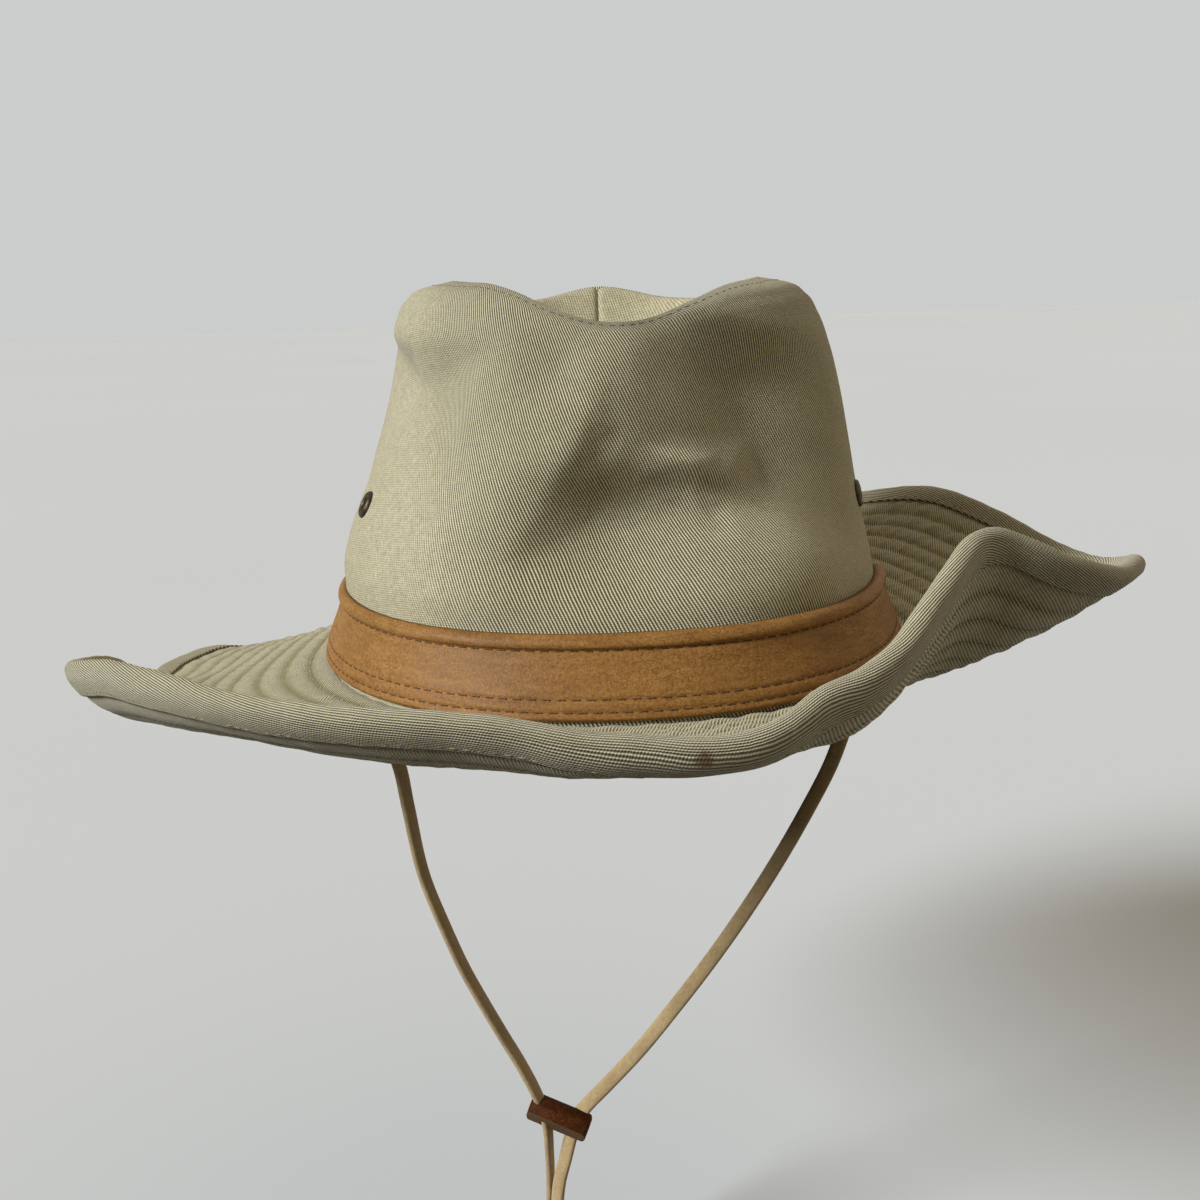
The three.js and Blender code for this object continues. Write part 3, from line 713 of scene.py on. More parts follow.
CROWN_FOLDS = table("azimuth height left right below above lean depth rim crease", [
    (-146, 0.0785, 0.013, 0.034, 0.050, 0.044, 90, 0.0080, 0.08, 0.15),
    (-174, 0.078, 0.060, 0.050, 0.018, 0.018, 0, 0.0020, 0.3, 0.3),
    (-157, 0.0800, 0.020, 0.013, 0.012, 0.010, 0, 0.0030, 0.12, 0.2),
    (-118.5, 0.0780, 0.018, 0.012, 0.026, 0.022, 14, -0.0018, 0.10, 0.08),
    (-100, 0.0865, 0.009, 0.007, 0.009, 0.007, 0, 0.0018, 0.15, 0.3),
    (-94, 0.078, 0.040, 0.046, 0.036, 0.026, 0, -0.0085, 0.06, 0.12),
    (-60, 0.0690, 0.036, 0.040, 0.028, 0.0240, 10, 0.0118, 0.06, 0.12),
    (-68, 0.0570, 0.008, 0.008, 0.016, 0.017, 92, -0.0032, 0.10, 0.15),
    (-91, 0.0520, 0.013, 0.040, 0.024, 0.025, 29, 0.0052, 0.05, 0.12),
    (-82, 0.0425, 0.016, 0.028, 0.036, 0.036, 93, 0.0080, 0.10, 0.15),
    (-72, 0.030, 0.050, 0.032, 0.016, 0.0185, 0, -0.0052, 0.15, 0.3),
    (-75.5, 0.0606, 0.0028, 0.0060, 0.012, 0.011, 98, -0.0018, 0.08, 0.12),
    (-92.5, 0.0650, 0.005, 0.005, 0.007, 0.006, 20, 0.0012, 0.12, 0.15),
    (-54, 0.0515, 0.012, 0.028, 0.018, 0.018, 22, 0.0017, 0.06, 0.12),
    (-69, 0.0455, 0.005, 0.004, 0.0045, 0.0035, 0, 0.0011, 0.12, 0.2),
    (-76.5, 0.0515, 0.006, 0.004, 0.0045, 0.004, 0, 0.0008, 0.12, 0.2),
    (-8, 0.082, 0.090, 0.090, 0.060, 0.060, 0, -0.0026, 0.3, 0.3),
    (-174, 0.031, 0.080, 0.110, 0.014, 0.034, 0, -0.0034, 0.3, 0.3),
])
FOLD_ROUND, FOLD_ENDS = 0.14, 1.3
FOLD_FOOT, FOLD_CLEAR = 0.010, 0.020
TUCK, TUCK_HEIGHT, TUCK_REACH = 0.0030, 0.018, 0.008


def wall_oval(azimuth, rise):
    """Radius of the crown wall without its folds, at a share of the crest's height."""
    side, front, rear = (along(CROWN_SECTIONS, "rise", reach, rise) for reach in ("side", "front", "rear"))
    turn = np.radians(azimuth)
    length = np.where(np.sin(turn) < 0, front, rear)
    return ((np.abs(np.cos(turn)) / side) ** OVAL_POWER
            + (np.abs(np.sin(turn)) / length) ** OVAL_POWER) ** (-1 / OVAL_POWER)


def wall_radius(azimuth, height):
    """The same at a height in metres."""
    return wall_oval(azimuth, height / around(CREST, "height", azimuth))


def ramp(place, before, after):
    """1 at 0, falling evenly through 0 at either reach, with a rounded top."""
    t = np.abs(place) / np.where(place < 0, before, after)
    return 1 + FOLD_ROUND - np.sqrt(t * t + FOLD_ROUND**2)


def fold_depth(azimuth, height):
    """How far the wall is pushed in: facets that meet in soft creases, and a tuck at the band's front."""
    total = 0
    for fold in CROWN_FOLDS:
        aside = ((azimuth - fold["azimuth"] + 540) % 360 - 180) * ARC_PER_DEGREE
        upward = height - fold["height"]
        lean = math.radians(fold["lean"])
        lengthwise = upward * math.cos(lean) + aside * math.sin(lean)
        across = aside * math.cos(lean) - upward * math.sin(lean)
        flanks = ramp(across, fold["left"], fold["right"]) / fold["crease"]
        ends = FOLD_ENDS * ramp(lengthwise, fold["below"], fold["above"]) / fold["crease"]
        facet = -fold["crease"] * np.logaddexp(-flanks, -ends)
        total = total + fold["depth"] * fold["rim"] * np.logaddexp(0, facet / fold["rim"])
    front = np.clip(-np.sin(np.radians(azimuth)), 0, 1) ** 2
    tuck = TUCK * front * bell(height - TUCK_HEIGHT, TUCK_REACH)
    return total * ease((height - FOLD_FOOT) / FOLD_CLEAR) + tuck


def wall_point(azimuth, height):
    """A point of the folded wall at a height in metres."""
    return polar(wall_radius(azimuth, height) - fold_depth(azimuth, height), azimuth, height)


def crown_point(azimuth, rise):
    """A point of the folded wall at a share of the crest's height."""
    height = rise * around(CREST, "height", azimuth)
    return polar(wall_oval(azimuth, rise) - fold_depth(azimuth, height), azimuth, height)


# %% Crown's flat pattern
CONE_SHARE, FOOT_RADIUS = 0.07, 0.085
CONE_FOOT = FOOT_RADIUS / CONE_SHARE
rises = np.linspace(CROWN_SECTIONS["rise"][0], 1, PROFILE_STEPS)
climbed = walked(crown_point(np.full_like(rises, PROFILE_AZIMUTH), rises))
CROWN_CLIMB = climbed[-1]
print("crown cloth", round(CROWN_CLIMB, 4), "m high")


def crown_rise(rise):
    """Share of the crest's height at a share of the way up the cloth."""
    return np.interp(rise * CROWN_CLIMB, climbed, rises)


def crown_pattern(share, rise):
    """The wall's flat pattern: a curved strip, as a cone unrolls."""
    radius = CONE_FOOT - rise * CROWN_CLIMB
    turn = 2 * math.pi * CONE_SHARE * (share - 0.5)
    return radius * np.sin(turn), -radius * np.cos(turn)


# %% Crown wall with its vents
EYELETS = {"left": (-155.0, 0.0465), "right": (-21.0, 0.0445)}
VENT_RADIUS = 0.0029
SEAT_TURN, SEAT_STEP = 2.0, 0.002


def seated(surface, azimuth, level, turn, step):
    """Points of a surface with the directions round it and out of it, felt over a small turn and step."""
    round_it = unit(surface(azimuth + turn, level) - surface(azimuth - turn, level))
    upward = unit(surface(azimuth, level + step) - surface(azimuth, level - step))
    return surface(azimuth, level), round_it, unit(np.cross(round_it, upward))


def crown_seat(azimuth, height):
    """A point of the folded wall and the direction out of it."""
    point, _, out = seated(wall_point, np.array([azimuth]), np.array([height]), SEAT_TURN, SEAT_STEP)
    return Vector(point[0]), Vector(out[0])


def pierce(piece, centre, radius):
    """Takes the faces round a point out of a sheet."""
    pick_faces(piece, lambda face: (face.center - centre).length < radius)
    bpy.ops.mesh.delete(type="FACE")
    bpy.ops.mesh.select_mode(type="VERT")
    leave_edit()


crown_wall = grid("crown_wall_cloth", CROWN_COLUMNS, CROWN_ROWS,
                  lambda share, rise: crown_point(90 + 360 * share, crown_rise(rise)), crown_pattern)
for place in EYELETS.values():
    pierce(crown_wall, crown_seat(*place)[0], VENT_RADIUS)
thicken(crown_wall, CROWN_CLOTH)
finished(crown_wall, crown_twill, "twill", "crown_wall")

# %% [markdown]
# ## Tip
# Inside the crest the crown sinks to a long hollow, sewn from two halves. Each half is its own grid
# from the crest to the middle seam, where its edge turns down.

# %% Tip
SPINE_HEIGHT = 0.084
SPINE_SHARE = 0.6
CREST_GAP, TIP_HALF_WIDTH = 0.00045, 0.045
CREST_INSET = CREST_GAP / TIP_HALF_WIDTH
SEAM_GAP = 0.00005
SEAM_DIP = 0.0009
SEAM_WIDTH = 0.0009
REAR_FLARE, REAR_REACH = 1.8, 38
TIP_COLUMNS = 120
TIP_ROWS = 44
TIP_SINK = table("inset drop", [
    (0.0, 0.0), (0.07, 0.06), (0.2, 0.3), (0.42, 0.7), (0.7, 0.94), (1.0, 1.0),
])


def tip_narrowing(azimuth):
    """The power by which the tip narrows inwards, larger towards the rear."""
    return 1 + REAR_FLARE * bell((azimuth + 90) % 360 - 180, REAR_REACH)


def tip_point(azimuth, inset):
    crest = crown_point(azimuth, np.ones_like(azimuth))
    inset = CREST_INSET + inset * (1 - CREST_INSET)
    point = crest.copy()
    point[:, 0] -= crest[:, 0] * inset ** tip_narrowing(azimuth)
    point[:, 1] -= crest[:, 1] * (1 - SPINE_SHARE) * inset
    point[:, 2] += (SPINE_HEIGHT - crest[:, 2]) * along(TIP_SINK, "inset", "drop", inset)
    point[:, 2] -= SEAM_DIP * bell(point[:, 0], SEAM_WIDTH)
    return point


for side, start, sign in (("left", 90, -1), ("right", -90, 1)):
    def tip_place(share, rise):
        return tip_point(start + 180 * share, rise) + (sign * SEAM_GAP / 2, 0, 0)

    half = grid(f"crown_tip_{side}_cloth", TIP_COLUMNS, TIP_ROWS, tip_place,
                lambda share, rise: tuple(tip_place(share, rise)[:, :2].T))
    thicken(half, CROWN_CLOTH)
    finished(half, tip_twill, "twill", f"crown_tip_{side}")

# %% [markdown]
# ## Brim
# The brim leaves the crown at one slope and reaches its edge at another, and a table gives both round
# the hat. Walking out along the cloth in small steps adds the slopes up to a shape, and past 90 degrees
# the edge rolls over. A large curl keeps the change of slope close to the edge. The brim's two layers
# are quilted in rings, so the cloth puffs up and puckers between rows of stitches.

# %% Brim's shape
GAP = 0.0003
BRIM_REACH = 0.072
BRIM_CLOTH = 0.0026
BRIM_COLUMNS = 480
BRIM_ROWS = 72
WALK_STEPS = 288
WALK_END = WALK_STEPS - 1e-6
BINDING_COVER = 0.008
BINDING_RADIUS = 0.0026
BRIM_EDGE = BRIM_REACH - BINDING_RADIUS
FEEL_TURN, FEEL_OUT = 0.4, 0.0006
BRIM_SECTIONS = table("azimuth root edge curl length", [
    (-171, -13.5, 90, 4.8, 0.0745), (-160, -9.5, 96, 4.5, 0.0775), (-150, -5, 102, 4.4, 0.0775),
    (-140, 0.5, 106, 4.5, 0.0755), (-130, 6, 107, 5.6, 0.0735), (-122, 8.3, 88, 5.6, 0.0727),
    (-114, 7.2, 76, 4.4, 0.073), (-107, 6.6, 76, 4.1, 0.0735), (-102, 7, 79, 4.4, 0.0735),
    (-96, 7.2, 96, 6.4, 0.0734), (-90, 8.6, 132, 12.5, 0.0733), (-83, 9.7, 150, 18, 0.0730),
    (-77, 10, 128, 8, 0.0726), (-73, 9.3, 108, 5, 0.0724), (-69, 9, 92, 2.9, 0.0724),
    (-62, 13, 88, 1.65, 0.072), (-53, 18.5, 92, 1.6, 0.072),
    (-46, 18.5, 73, 2.1, 0.072), (-38, 18.5, 54, 2.3, 0.072), (-28, 16.5, 48.5, 2.3, 0.0725),
    (-20, 14.5, 44, 2.3, 0.0728), (-12, 12.5, 35, 2.2, 0.0726), (4, 9, 22, 2.2, 0.072), (16, 8, 26, 2, 0.072),
    (26, 10, 36, 2, 0.072), (37, 13, 44, 2, 0.072), (52, 10, 34, 2, 0.072), (72, 4, 20, 2, 0.072),
    (90, -4, 0, 1.5, 0.072), (105, -12, -16, 1, 0.072), (118, -22, -21, 1, 0.072), (132, -28, -20, 1, 0.072),
    (145, -26.5, -15, 1, 0.072), (157, -21, -6, 1.2, 0.072), (166, -17.5, -2, 2.5, 0.072),
    (173, -17, 10, 5, 0.072), (180, -16, 54, 4.6, 0.073),
])


def brim_top(azimuth, reach):
    """Points of the brim's smooth top, a reach out from the crown along the cloth."""
    columns, which = np.unique(azimuth, return_inverse=True)
    share = (np.arange(WALK_STEPS) + 0.5) / WALK_STEPS
    root, edge, curl, length = (around(BRIM_SECTIONS, name, columns)[:, None]
                                for name in ("root", "edge", "curl", "length"))
    slope = np.radians(root + (edge - root) * share ** curl)
    step = length / WALK_STEPS
    start = np.zeros((len(columns), 1))
    radius = np.concatenate([start, np.cumsum(step * np.cos(slope), axis=1)], axis=1)
    height = np.concatenate([start, np.cumsum(step * np.sin(slope), axis=1)], axis=1)
    radius += (wall_radius(columns, np.zeros_like(columns)) + GAP)[:, None]
    place = np.clip(reach / BRIM_REACH * WALK_STEPS, 0, WALK_END)
    i = place.astype(int)
    part = place - i
    radius, height = (walk[which, i] * (1 - part) + walk[which, i + 1] * part for walk in (radius, height))
    return polar(radius, azimuth, height)


def brim_frame(azimuth, reach):
    """A point of the brim's top with the directions onward, outward and up out of the cloth."""
    near, far = np.clip(reach - FEEL_OUT, 0, None), np.clip(reach + FEEL_OUT, None, BRIM_REACH)
    onward = unit(brim_top(azimuth + FEEL_TURN, reach) - brim_top(azimuth - FEEL_TURN, reach))
    outward = unit(brim_top(azimuth, far) - brim_top(azimuth, near))
    return brim_top(azimuth, reach), onward, outward, unit(np.cross(outward, onward))


# %% Quilting
QUILT_FIRST = 0.0058
QUILT_PITCH = 0.0073
QUILT_ROWS = 8
QUILT_PUFF = 0.0021
QUILT_SINK = 0.6
PUFF_SHAPE, PUFF_LEVEL = 0.5, 0.72
PUFF_MEAN, PUFF_SWING = 0.72, 0.28
UNDER_SHARE, UNDER_SHIFT = 0.45, 7.0
ROW_REACH = 0.0012
PUCKERS, PUCKER_SHARE, PUCKER_SLANT = 6, 0.2, 420
PUCKER_LEAST, PUCKER_MOST = 45, 170
BINDING_LAP, BINDING_FADE = 0.001, 0.002
ROOT_TURN = 0.005
rng = np.random.default_rng(3)
pucker_counts = rng.integers(PUCKER_LEAST, PUCKER_MOST, (QUILT_ROWS + 2, PUCKERS))
pucker_phases = rng.uniform(0, 2 * math.pi, (QUILT_ROWS + 2, PUCKERS))


def quilt_puff(azimuth):
    """The quilting is puffed most at the turned-up right and lies flattest at the left."""
    return QUILT_PUFF * (PUFF_MEAN + PUFF_SWING * np.cos(np.radians(azimuth)))


def quilt(azimuth, reach, shift=0.0):
    """How far the puffed cloth stands over the brim's smooth top."""
    place = (reach - QUILT_FIRST) / QUILT_PITCH + 1
    channel = np.clip(place.astype(int), 0, QUILT_ROWS + 1)
    puff = np.abs(np.sin(math.pi * place)) ** PUFF_SHAPE
    turns = pucker_counts[channel] * np.radians(azimuth + shift)[:, None] + pucker_phases[channel]
    waves = np.sin(turns + PUCKER_SLANT * reach[:, None]).sum(axis=1) / math.sqrt(PUCKERS)
    cover = 1 - ease((reach - (BRIM_REACH - BINDING_COVER - BINDING_LAP)) / BINDING_FADE)
    return (puff * (PUFF_LEVEL + PUCKER_SHARE * waves) - QUILT_SINK) * cover * quilt_puff(azimuth)


def brim_reach(rise):
    """Once round the brim's section: out along the underside, round the edge and back along the top."""
    return np.clip(np.where(rise > 0.5, 2 - 2 * rise, 2 * rise), 0, 1) * BRIM_EDGE


def brim_place(share, rise):
    azimuth = 360 * share - 90
    top = rise > 0.5
    reach = brim_reach(rise)
    point, _, _, up = brim_frame(azimuth, reach)
    upright = ease(reach / ROOT_TURN)[:, None]
    down = unit(up * upright + (0, 0, 1) * (1 - upright)) * BRIM_CLOTH
    relief = quilt(azimuth, reach)
    under_relief = quilt(azimuth, reach, UNDER_SHIFT) * UNDER_SHARE
    return np.where(top[:, None], point + up * relief[:, None], point - down - up * under_relief[:, None])


def brim_pattern(share, rise):
    """The brim's flat pattern: a ring, with the underside's beside the top's."""
    azimuth = 360 * share - 90
    ring = polar(wall_radius(azimuth, np.zeros_like(azimuth)) + brim_reach(rise), azimuth, 0)
    return ring[:, 0], ring[:, 1]


def row_nearness(share, rise):
    """1 on a row of quilting stitches and nearly 0 two millimetres away."""
    place = (brim_reach(rise) - QUILT_FIRST) / QUILT_PITCH
    off = (place - np.clip(np.round(place), 0, QUILT_ROWS - 1)) * QUILT_PITCH
    return bell(off, ROW_REACH)


brim = grid("brim_cloth", BRIM_COLUMNS, 2 * BRIM_ROWS + 1, brim_place, brim_pattern,
            stitch_row=row_nearness)
finished(brim, brim_twill, "twill", "brim")

# %% [markdown]
# ## Binding
# A strip of twill, cut on the bias, wraps the brim's raw edge. Its section is a U that is stitched down
# at its two borders and swells towards the edge.

# %% Binding
BINDING_CLOTH = 0.0007
BINDING_BORDER = 0.00205
BINDING_SWELL = 0.0045
BINDING_ROWS = 44
ROLL_STRETCH = 0.4
RIPPLE, RIPPLE_ONE, RIPPLE_TWO, RIPPLE_SHIFT = 0.05, 47, 31, 40
BINDING_FLAT = BINDING_COVER - BINDING_RADIUS
BINDING_ROUND = math.pi * BINDING_RADIUS
BINDING_LENGTH = 2 * BINDING_FLAT + BINDING_ROUND
BRIM_MEAN_RADIUS = 0.164


def binding_place(share, rise):
    azimuth = 360 * share - 90
    walk = rise * BINDING_LENGTH
    flat = np.minimum(walk, BINDING_LENGTH - walk)
    angle = np.clip((walk - BINDING_FLAT) / BINDING_ROUND, 0, 1) * math.pi - math.pi / 2
    reach = BRIM_REACH - BINDING_COVER + np.minimum(flat, BINDING_FLAT)
    point, _, outward, up = brim_frame(azimuth, np.minimum(reach, BRIM_EDGE))
    swell = BINDING_BORDER + (BINDING_RADIUS - BINDING_BORDER) * ease(flat / BINDING_SWELL)
    beat = np.sin(np.radians(azimuth * RIPPLE_ONE)) * np.sin(np.radians(azimuth * RIPPLE_TWO + RIPPLE_SHIFT))
    middle = point - up * BRIM_CLOTH / 2
    off = swell * (1 + RIPPLE * beat)
    return middle + (up * np.sin(angle)[:, None] + outward * np.cos(angle)[:, None]) * off[:, None]


# %% Binding's ribs
BINDING_SLANT = table("azimuth slant", [
    (-170, 26), (-150, 20), (-130, 12), (-105, 5), (-85, 3),
    (-65, 10), (-50, 17), (-20, 14), (60, 10), (140, 12),
])
SLANT_STEPS = 720
slant_azimuths = np.linspace(-90, 270, SLANT_STEPS + 1)
slant_step = 2 * math.pi * BRIM_MEAN_RADIUS / SLANT_STEPS
slant_rise = np.cumsum(np.tan(np.radians(around(BINDING_SLANT, "slant", slant_azimuths)))) * slant_step


def binding_pattern(share, rise):
    """Metres along the strip, and across its ribs, which slant over it. The roll stretches its outer half."""
    walk = rise + ROLL_STRETCH * np.minimum(rise, 0.5)
    return (share * 2 * math.pi * BRIM_MEAN_RADIUS,
            walk * BINDING_LENGTH + np.interp(360 * share - 90, slant_azimuths, slant_rise))


binding = grid("brim_binding_cloth", BRIM_COLUMNS, BINDING_ROWS, binding_place, binding_pattern)
thicken(binding, BINDING_CLOTH)
finished(binding, binding_twill, "twill", "brim_binding")

# %% [markdown]
# ## Leather band
# The band's top edge is rolled over a cord and stitched under the roll, and two more rows of
# stitches hold its foot. The stitch lines pull the leather in, so its face is a sum of swells and
# narrow grooves over its height. At the viewer's right one end laps over the other.

# %% Band
BAND_FOOT, BAND_TOP = 0.0012, 0.0214
BAND_SEAT = 0.00036
BAND_STANDOFF = 0.0016
BAND_STITCHES = (0.0034, 0.0063, 0.0172)
BAND_GROOVE, BAND_GROOVE_WIDTH = 0.00035, 0.0005
BAND_ROLL, BAND_ROLL_RADIUS, BAND_ROLL_SEAT = 0.0194, 0.002, 0.0008
BAND_EDGE, BAND_EDGE_SINK = 0.0008, 0.0007
BAND_COLUMNS, BAND_ROWS, BAND_FACE = 360, 76, 0.8
BAND_ROUND, BAND_GIRTH = 0.6, 0.05
LAP_AZIMUTH, LAP_RISE, LAP_EASE = -11.0, 0.0009, 12.0
LAP_DROP, LAP_SLIP, LAP_OVER = 0.3, 30.0, 0.02


def band_standoff(azimuth, height):
    """How far the band's face stands off the crown's wall."""
    roll = BAND_ROLL_SEAT + np.sqrt(np.clip(BAND_ROLL_RADIUS**2 - (height - BAND_ROLL) ** 2, 0, None))
    off = np.maximum(BAND_STANDOFF, np.where(height > BAND_ROLL - BAND_ROLL_RADIUS, roll, 0))
    off = np.where(height > BAND_ROLL, roll, off)
    for row in BAND_STITCHES:
        off = off - BAND_GROOVE * bell(height - row, BAND_GROOVE_WIDTH)
    off = off - BAND_EDGE_SINK * (1 - ease((height - BAND_FOOT) / BAND_EDGE))
    before = (LAP_AZIMUTH - azimuth) % 360
    return off + LAP_RISE * np.exp(-before / LAP_EASE)


def band_point(azimuth, height, off):
    """A point off the crown's wall. Past the lap the end underneath slips down a little."""
    after = (azimuth - LAP_AZIMUTH) % 360
    height = BAND_FOOT + (height - BAND_FOOT) * (1 - LAP_DROP * np.exp(-after / LAP_SLIP))
    return polar(wall_radius(azimuth, height) + off, azimuth, height)


def band_place(share, rise):
    azimuth = LAP_AZIMUTH - LAP_OVER + 360 * share
    face = rise < BAND_FACE
    up = np.where(face, rise / BAND_FACE, (1 - rise) / (1 - BAND_FACE))
    height = BAND_FOOT + (BAND_TOP - BAND_FOOT) * np.clip(up, 0, 1)
    return band_point(azimuth, height, np.where(face, band_standoff(azimuth, height), BAND_SEAT))


band = grid("hat_band_leather", BAND_COLUMNS, BAND_ROWS, band_place,
            lambda share, rise: (share * BAND_ROUND, rise * BAND_GIRTH))
finished(band, band_leather, "band_leather", "hat_band")

# %% [markdown]
# ## Stitches
# A line of dashes painted on cloth looks flat from the side, so each stitch is a small arched
# lump of thread. One is shaped from a sphere, and every row copies it to its places, turned along the
# row and up out of the cloth.

# %% One stitch
STITCH_SIDES, STITCH_RINGS, STITCH_ARCH = 6, 4, 0.5
deselect()
bpy.ops.mesh.primitive_uv_sphere_add(segments=STITCH_SIDES, ring_count=STITCH_RINGS, radius=1)
edit_all()
bpy.ops.transform.rotate(value=math.pi / 2, orient_axis="Y", center_override=(0, 0, 0))
leave_edit()
pattern_stitch = bpy.context.object
stitch_points = np.array([v.co for v in pattern_stitch.data.vertices])
stitch_points[:, 2] -= STITCH_ARCH * stitch_points[:, 0] ** 2
stitch_faces = [tuple(p.vertices) for p in pattern_stitch.data.polygons]
bpy.data.objects.remove(pattern_stitch)


def sew(name, finish, slot, rows, length, width, height):
    """Copies the stitch to rows of (points, directions, normals)."""
    points, faces = [], []
    for place, ahead, up in rows:
        aside = unit(np.cross(up, ahead))
        for centre, x, y, z in zip(place, ahead * length / 2, aside * width / 2, up * height):
            first = len(points) * len(stitch_points)
            points.append(centre + stitch_points @ np.array([x, y, z]))
            faces.extend(tuple(corner + first for corner in face) for face in stitch_faces)
    mesh = bpy.data.meshes.new(name)
    mesh.from_pydata(np.concatenate(points).tolist(), [], faces)
    mesh.shade_smooth()
    piece = bpy.data.objects.new(name, mesh)
    bpy.context.scene.collection.objects.link(piece)
    return finished(piece, finish, slot)


def ring_azimuths(line, pitch, start=0.5):
    """Azimuths a stitch apart round a closed ring, given a point per degree, from a share of a stitch."""
    at = walked(line)
    count = int(at[-1] / pitch)
    return np.interp((np.arange(count) + start) * at[-1] / count, at, np.linspace(-180, 180, len(line)))


DEGREES = np.linspace(-180, 180, 361)

# %% Brim stitches
BRIM_STITCH_PITCH = 0.0029
BRIM_STITCH = (0.0019, 0.0004, 0.0002)
BORDER_STITCH = (0.0018, 0.0004, 0.00015)
BORDER_INSET = 0.0011
BORDER_REACH = BRIM_REACH - BINDING_COVER + BORDER_INSET
STITCH_LIFT, BORDER_LIFT = 0.00015, 0.0008


def brim_row(reach, side, lift):
    """A row of stitches round the brim. Side is 1 on its top and -1 on its underside."""
    azimuth = ring_azimuths(brim_top(DEGREES, np.full_like(DEGREES, reach)), BRIM_STITCH_PITCH)
    point, onward, _, up = brim_frame(azimuth, np.full_like(azimuth, reach))
    point = point if side > 0 else point - up * BRIM_CLOTH
    return point + up * side * lift(azimuth)[:, None], onward, up * side


def groove(share):
    """Height of the quilting's grooves, with the thread lying on them."""
    return lambda azimuth: STITCH_LIFT - QUILT_SINK * share * quilt_puff(azimuth)


def border(azimuth):
    """Height of the binding's border, with the thread lying on it."""
    return np.full_like(azimuth, BORDER_LIFT)


quilt_reaches = [QUILT_FIRST + QUILT_PITCH * row for row in range(QUILT_ROWS)]
top_rows = [brim_row(reach, 1, groove(1)) for reach in quilt_reaches]
under_rows = [brim_row(reach, -1, groove(UNDER_SHARE)) for reach in quilt_reaches]
border_rows = [brim_row(BORDER_REACH, side, border) for side in (1, -1)]
sew("brim_stitches_top", khaki_thread, "twill", top_rows, *BRIM_STITCH)
sew("brim_stitches_under", painted_shade_thread, "twill", under_rows, *BRIM_STITCH)
sew("binding_stitches", khaki_thread, "twill", border_rows, *BORDER_STITCH)

# %% Band and crown stitches
BAND_STITCH_PITCH = 0.0037
BAND_STITCH = (0.0023, 0.0005, 0.00025)
NEEDLE_HOLE, HOLE_START = (0.0008, 0.00055, 0.00022), 0.84
CREST_STITCH_PITCH = 0.0027
CREST_STITCH = (0.0019, 0.0003, 0.00016)
CREST_STITCH_DROP = 0.0052
TIP_STITCH_ASIDE, TIP_ROW_FROM, TIP_ROW_TO, TIP_ROW_STEPS = 0.005, 100, 260, 400
LEAST_INSET = 0.02
ROW_TURN, BAND_STEP, CREST_STEP = 0.3, 0.003, 0.004


def band_face(azimuth, height):
    height = np.full_like(azimuth, height)
    return band_point(azimuth, height, band_standoff(azimuth, height))


def crest_face(azimuth, rise):
    return crown_point(azimuth, np.full_like(azimuth, rise))


def band_row(height, start=0.5):
    azimuth = ring_azimuths(band_face(DEGREES, height), BAND_STITCH_PITCH, start)
    return seated(band_face, azimuth, height, ROW_TURN, BAND_STEP)


def crest_row():
    """The row of stitches just under the crest."""
    rise = float(crown_rise(1 - CREST_STITCH_DROP / CROWN_CLIMB))
    azimuth = ring_azimuths(crest_face(DEGREES, rise), CREST_STITCH_PITCH)
    return seated(crest_face, azimuth, rise, ROW_TURN, CREST_STEP)


def tip_row():
    """The row of stitches beside the tip's middle seam."""
    azimuth = np.linspace(TIP_ROW_FROM, TIP_ROW_TO, TIP_ROW_STEPS)
    crest = crest_face(azimuth, 1.0)[:, 0]
    inset = np.clip(1 + TIP_STITCH_ASIDE / crest, LEAST_INSET, 1) ** (1 / tip_narrowing(azimuth))
    line = tip_point(azimuth, inset)
    walk = walked(line)
    at = np.arange(CREST_STITCH_PITCH, walk[-1] - CREST_STITCH_PITCH, CREST_STITCH_PITCH)
    point, ahead = (np.stack([np.interp(at, walk, part) for part in rows.T], axis=1)
                    for rows in (line, unit(np.gradient(line, axis=0))))
    return point, unit(ahead), unit(np.array((0, 0, 1.0)) - ahead * ahead[:, 2:])


stitch_rows = [band_row(height) for height in BAND_STITCHES]
hole_rows = [band_row(height, HOLE_START) for height in BAND_STITCHES]
sew("band_stitches", brown_thread, "band_leather", stitch_rows, *BAND_STITCH)
sew("band_needle_holes", hole_shade, "band_leather", hole_rows, *NEEDLE_HOLE)
sew("crest_stitches", painted_shade_thread, "twill", [crest_row()], *CREST_STITCH)
sew("tip_stitches", khaki_thread, "twill", [tip_row()], *CREST_STITCH)

# %% [markdown]
# ## Eyelets
# Each vent is a metal eyelet whose barrel goes through the cloth and whose flange is rolled over it. A ring
# of points is extruded and scaled again and again along the eyelet's profile, as a lathe would turn it.

# %% Eyelets
EYELET_SIDES, EYELET_LIFT, EYELET_SHARP = 40, 0.0003, math.radians(60)
EYELET_PROFILE = [
    (0.0021, -0.0018), (0.0021, 0.0001), (0.0023, 0.0006), (0.0028, 0.0009), (0.0034, 0.0008),
    (0.0039, 0.0004), (0.0041, -0.0001), (0.0038, -0.0004), (0.0026, -0.0003), (0.0024, -0.0018),
    (0.0021, -0.0018),
]


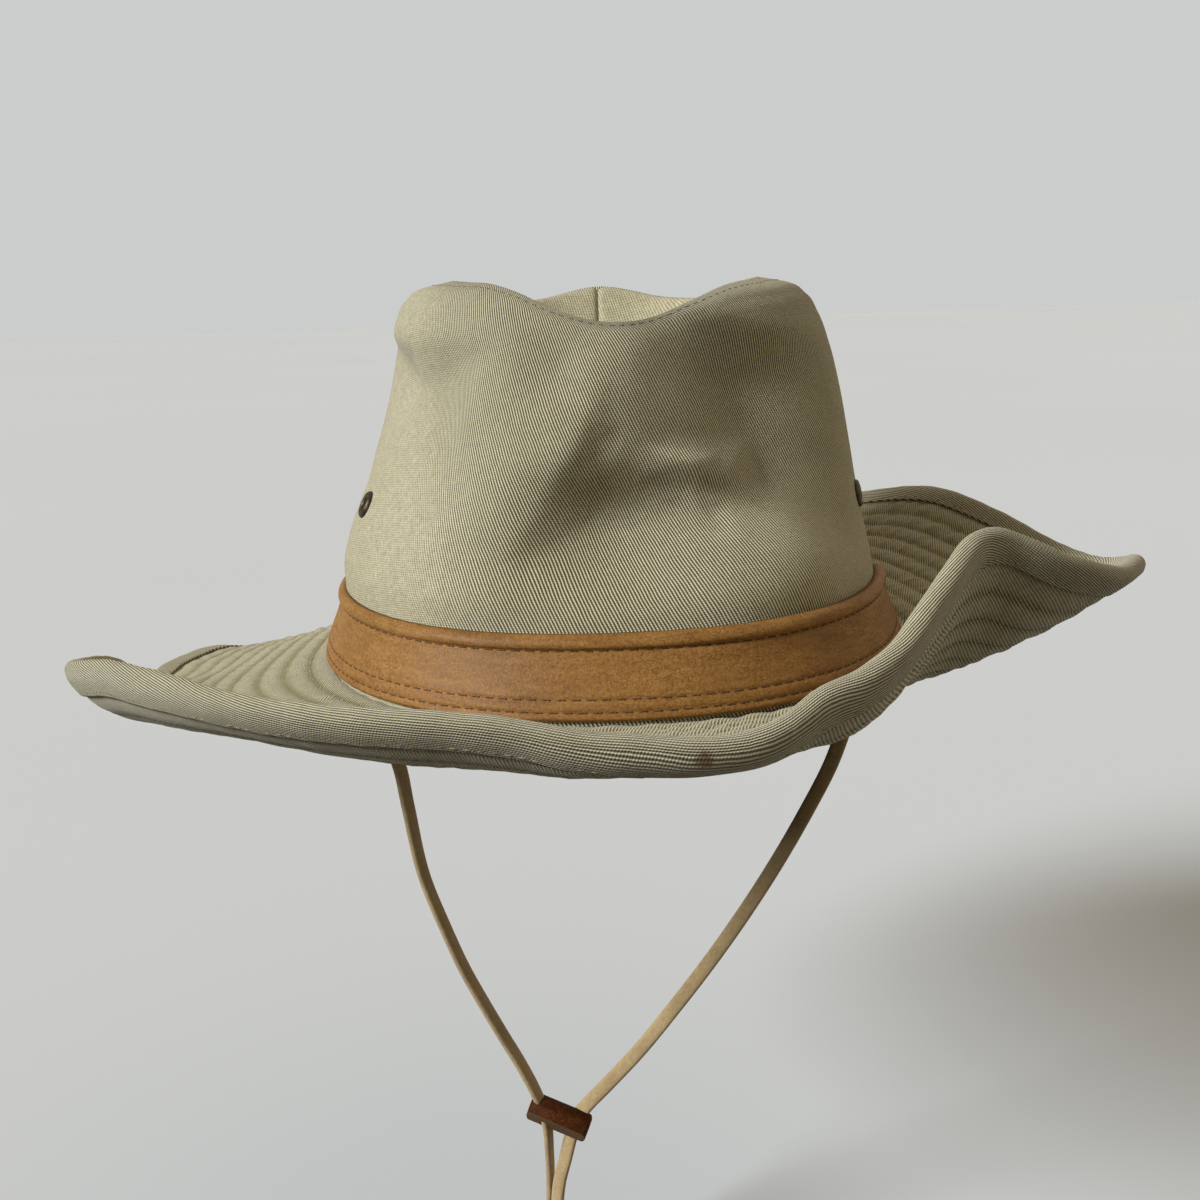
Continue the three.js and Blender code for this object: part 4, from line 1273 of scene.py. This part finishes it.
def turned(name, profile, sides):
    """A closed ring turned along a profile of (radius, height)."""
    deselect()
    radius, height = profile[0]
    bpy.ops.mesh.primitive_circle_add(vertices=sides, radius=radius)
    piece = named(bpy.context.object, name)
    edit_all()
    bpy.ops.transform.translate(value=(0, 0, height))
    for next_radius, next_height in profile[1:]:
        bpy.ops.mesh.extrude_region_move(TRANSFORM_OT_translate={"value": (0, 0, next_height - height)})
        scale = next_radius / radius
        bpy.ops.transform.resize(value=(scale, scale, 1), center_override=(0, 0, 0))
        radius, height = next_radius, next_height
    bpy.ops.mesh.select_all(action="SELECT")
    bpy.ops.mesh.remove_doubles(threshold=SAME_POINT)
    bpy.ops.mesh.normals_make_consistent(inside=False)
    leave_edit()
    bpy.ops.object.shade_smooth_by_angle(angle=EYELET_SHARP)
    return piece


for side, place in EYELETS.items():
    seat, outward = crown_seat(*place)
    ring = turned(f"eyelet_{side}_ring", EYELET_PROFILE, EYELET_SIDES)
    turn = Vector((0, 0, 1)).rotation_difference(outward).to_matrix().to_4x4()
    ring.data.transform(Matrix.Translation(seat + outward * EYELET_LIFT) @ turn)
    finished(ring, eyelet_bronze, "bronze", f"eyelet_{side}")

# %% [markdown]
# ## Studio
# A pale floor, a large soft light from the upper left and a weak sky give the cloth the soft shading of
# daylight from a window.

# %% Studio
FLOOR_DROP, FLOOR_SIZE = 0.006, 30
FLOOR_HEIGHT = cad_low.z - FLOOR_DROP
FLOOR_DARK, FLOOR_PALE, FLOOR_BLOTCH = (0.51, 0.522, 0.53), (0.525, 0.537, 0.545), 0.8
bpy.ops.mesh.primitive_plane_add(size=FLOOR_SIZE, location=(0, 0, FLOOR_HEIGHT))
floor = named(bpy.context.object, "studio_floor")
paint = Finish("studio_floor", 0.9)
shade = paint.noise(paint.object_place(), FLOOR_BLOTCH)
floor.data.materials.append(paint.done(paint.ramp(shade, (0.3, FLOOR_DARK), (0.7, FLOOR_PALE)), shade, 0.0))
floor.visible_diffuse = False
print("floor at", round(FLOOR_HEIGHT, 4))

# %% Sky
SKY_SEEN = (0.6, 0.612, 0.605, 1)
SKY_WARM = (1, 0.89, 0.72, 1)
SKY_MEAN, SKY_RIGHT, SKY_BACK, SKY_TOP = 0.36, 0.34, 0.26, 0.12
SKY_BELOW, SKY_LEAST = 0.55, 0.04
SKY_DIM_FROM, SKY_DIM_TO = -0.3, 0.1
world = bpy.data.worlds.new("studio_sky")
bpy.context.scene.world = world
world.use_nodes = True
sky = Recipe(world.node_tree)
towards = sky.node("ShaderNodeTexCoord", {}, {})
rightward, backward, upward = (sky.node("ShaderNodeSeparateXYZ", {}, {0: towards}, part) for part in range(3))
strength = SKY_MEAN + rightward * SKY_RIGHT + backward * SKY_BACK + upward * SKY_TOP
strength = sky.node("ShaderNodeMath", {"operation": "MAXIMUM"}, {0: strength, 1: SKY_LEAST})
strength = strength * (sky.step(upward, SKY_DIM_FROM, SKY_DIM_TO) * (1 - SKY_BELOW) + SKY_BELOW)
lighting = sky.node("ShaderNodeBackground", {}, {"Color": SKY_WARM, "Strength": strength})
seen = sky.node("ShaderNodeBackground", {}, {"Color": SKY_SEEN})
in_view = sky.node("ShaderNodeLightPath", {}, {})
either = sky.node("ShaderNodeMixShader", {}, {0: in_view, 1: lighting, 2: seen})
sky.feed(world.node_tree.nodes["World Output"].inputs[0], either)
print(len(world.node_tree.nodes), "nodes in the sky")

# %% Window light
WINDOW_FROM = Vector((-0.81, -0.40, 0.51))
WINDOW_POWER = 4.75
WINDOW_COOL = (0.95, 1.0, 1.04)
WINDOW_SPREAD = math.radians(22)
bpy.ops.object.light_add(type="SUN", rotation=WINDOW_FROM.to_track_quat("Z", "Y").to_euler())
window = named(bpy.context.object, "window")
window.data.energy = WINDOW_POWER
window.data.color = WINDOW_COOL
window.data.angle = WINDOW_SPREAD
bpy.context.scene.view_settings.view_transform = "Standard"
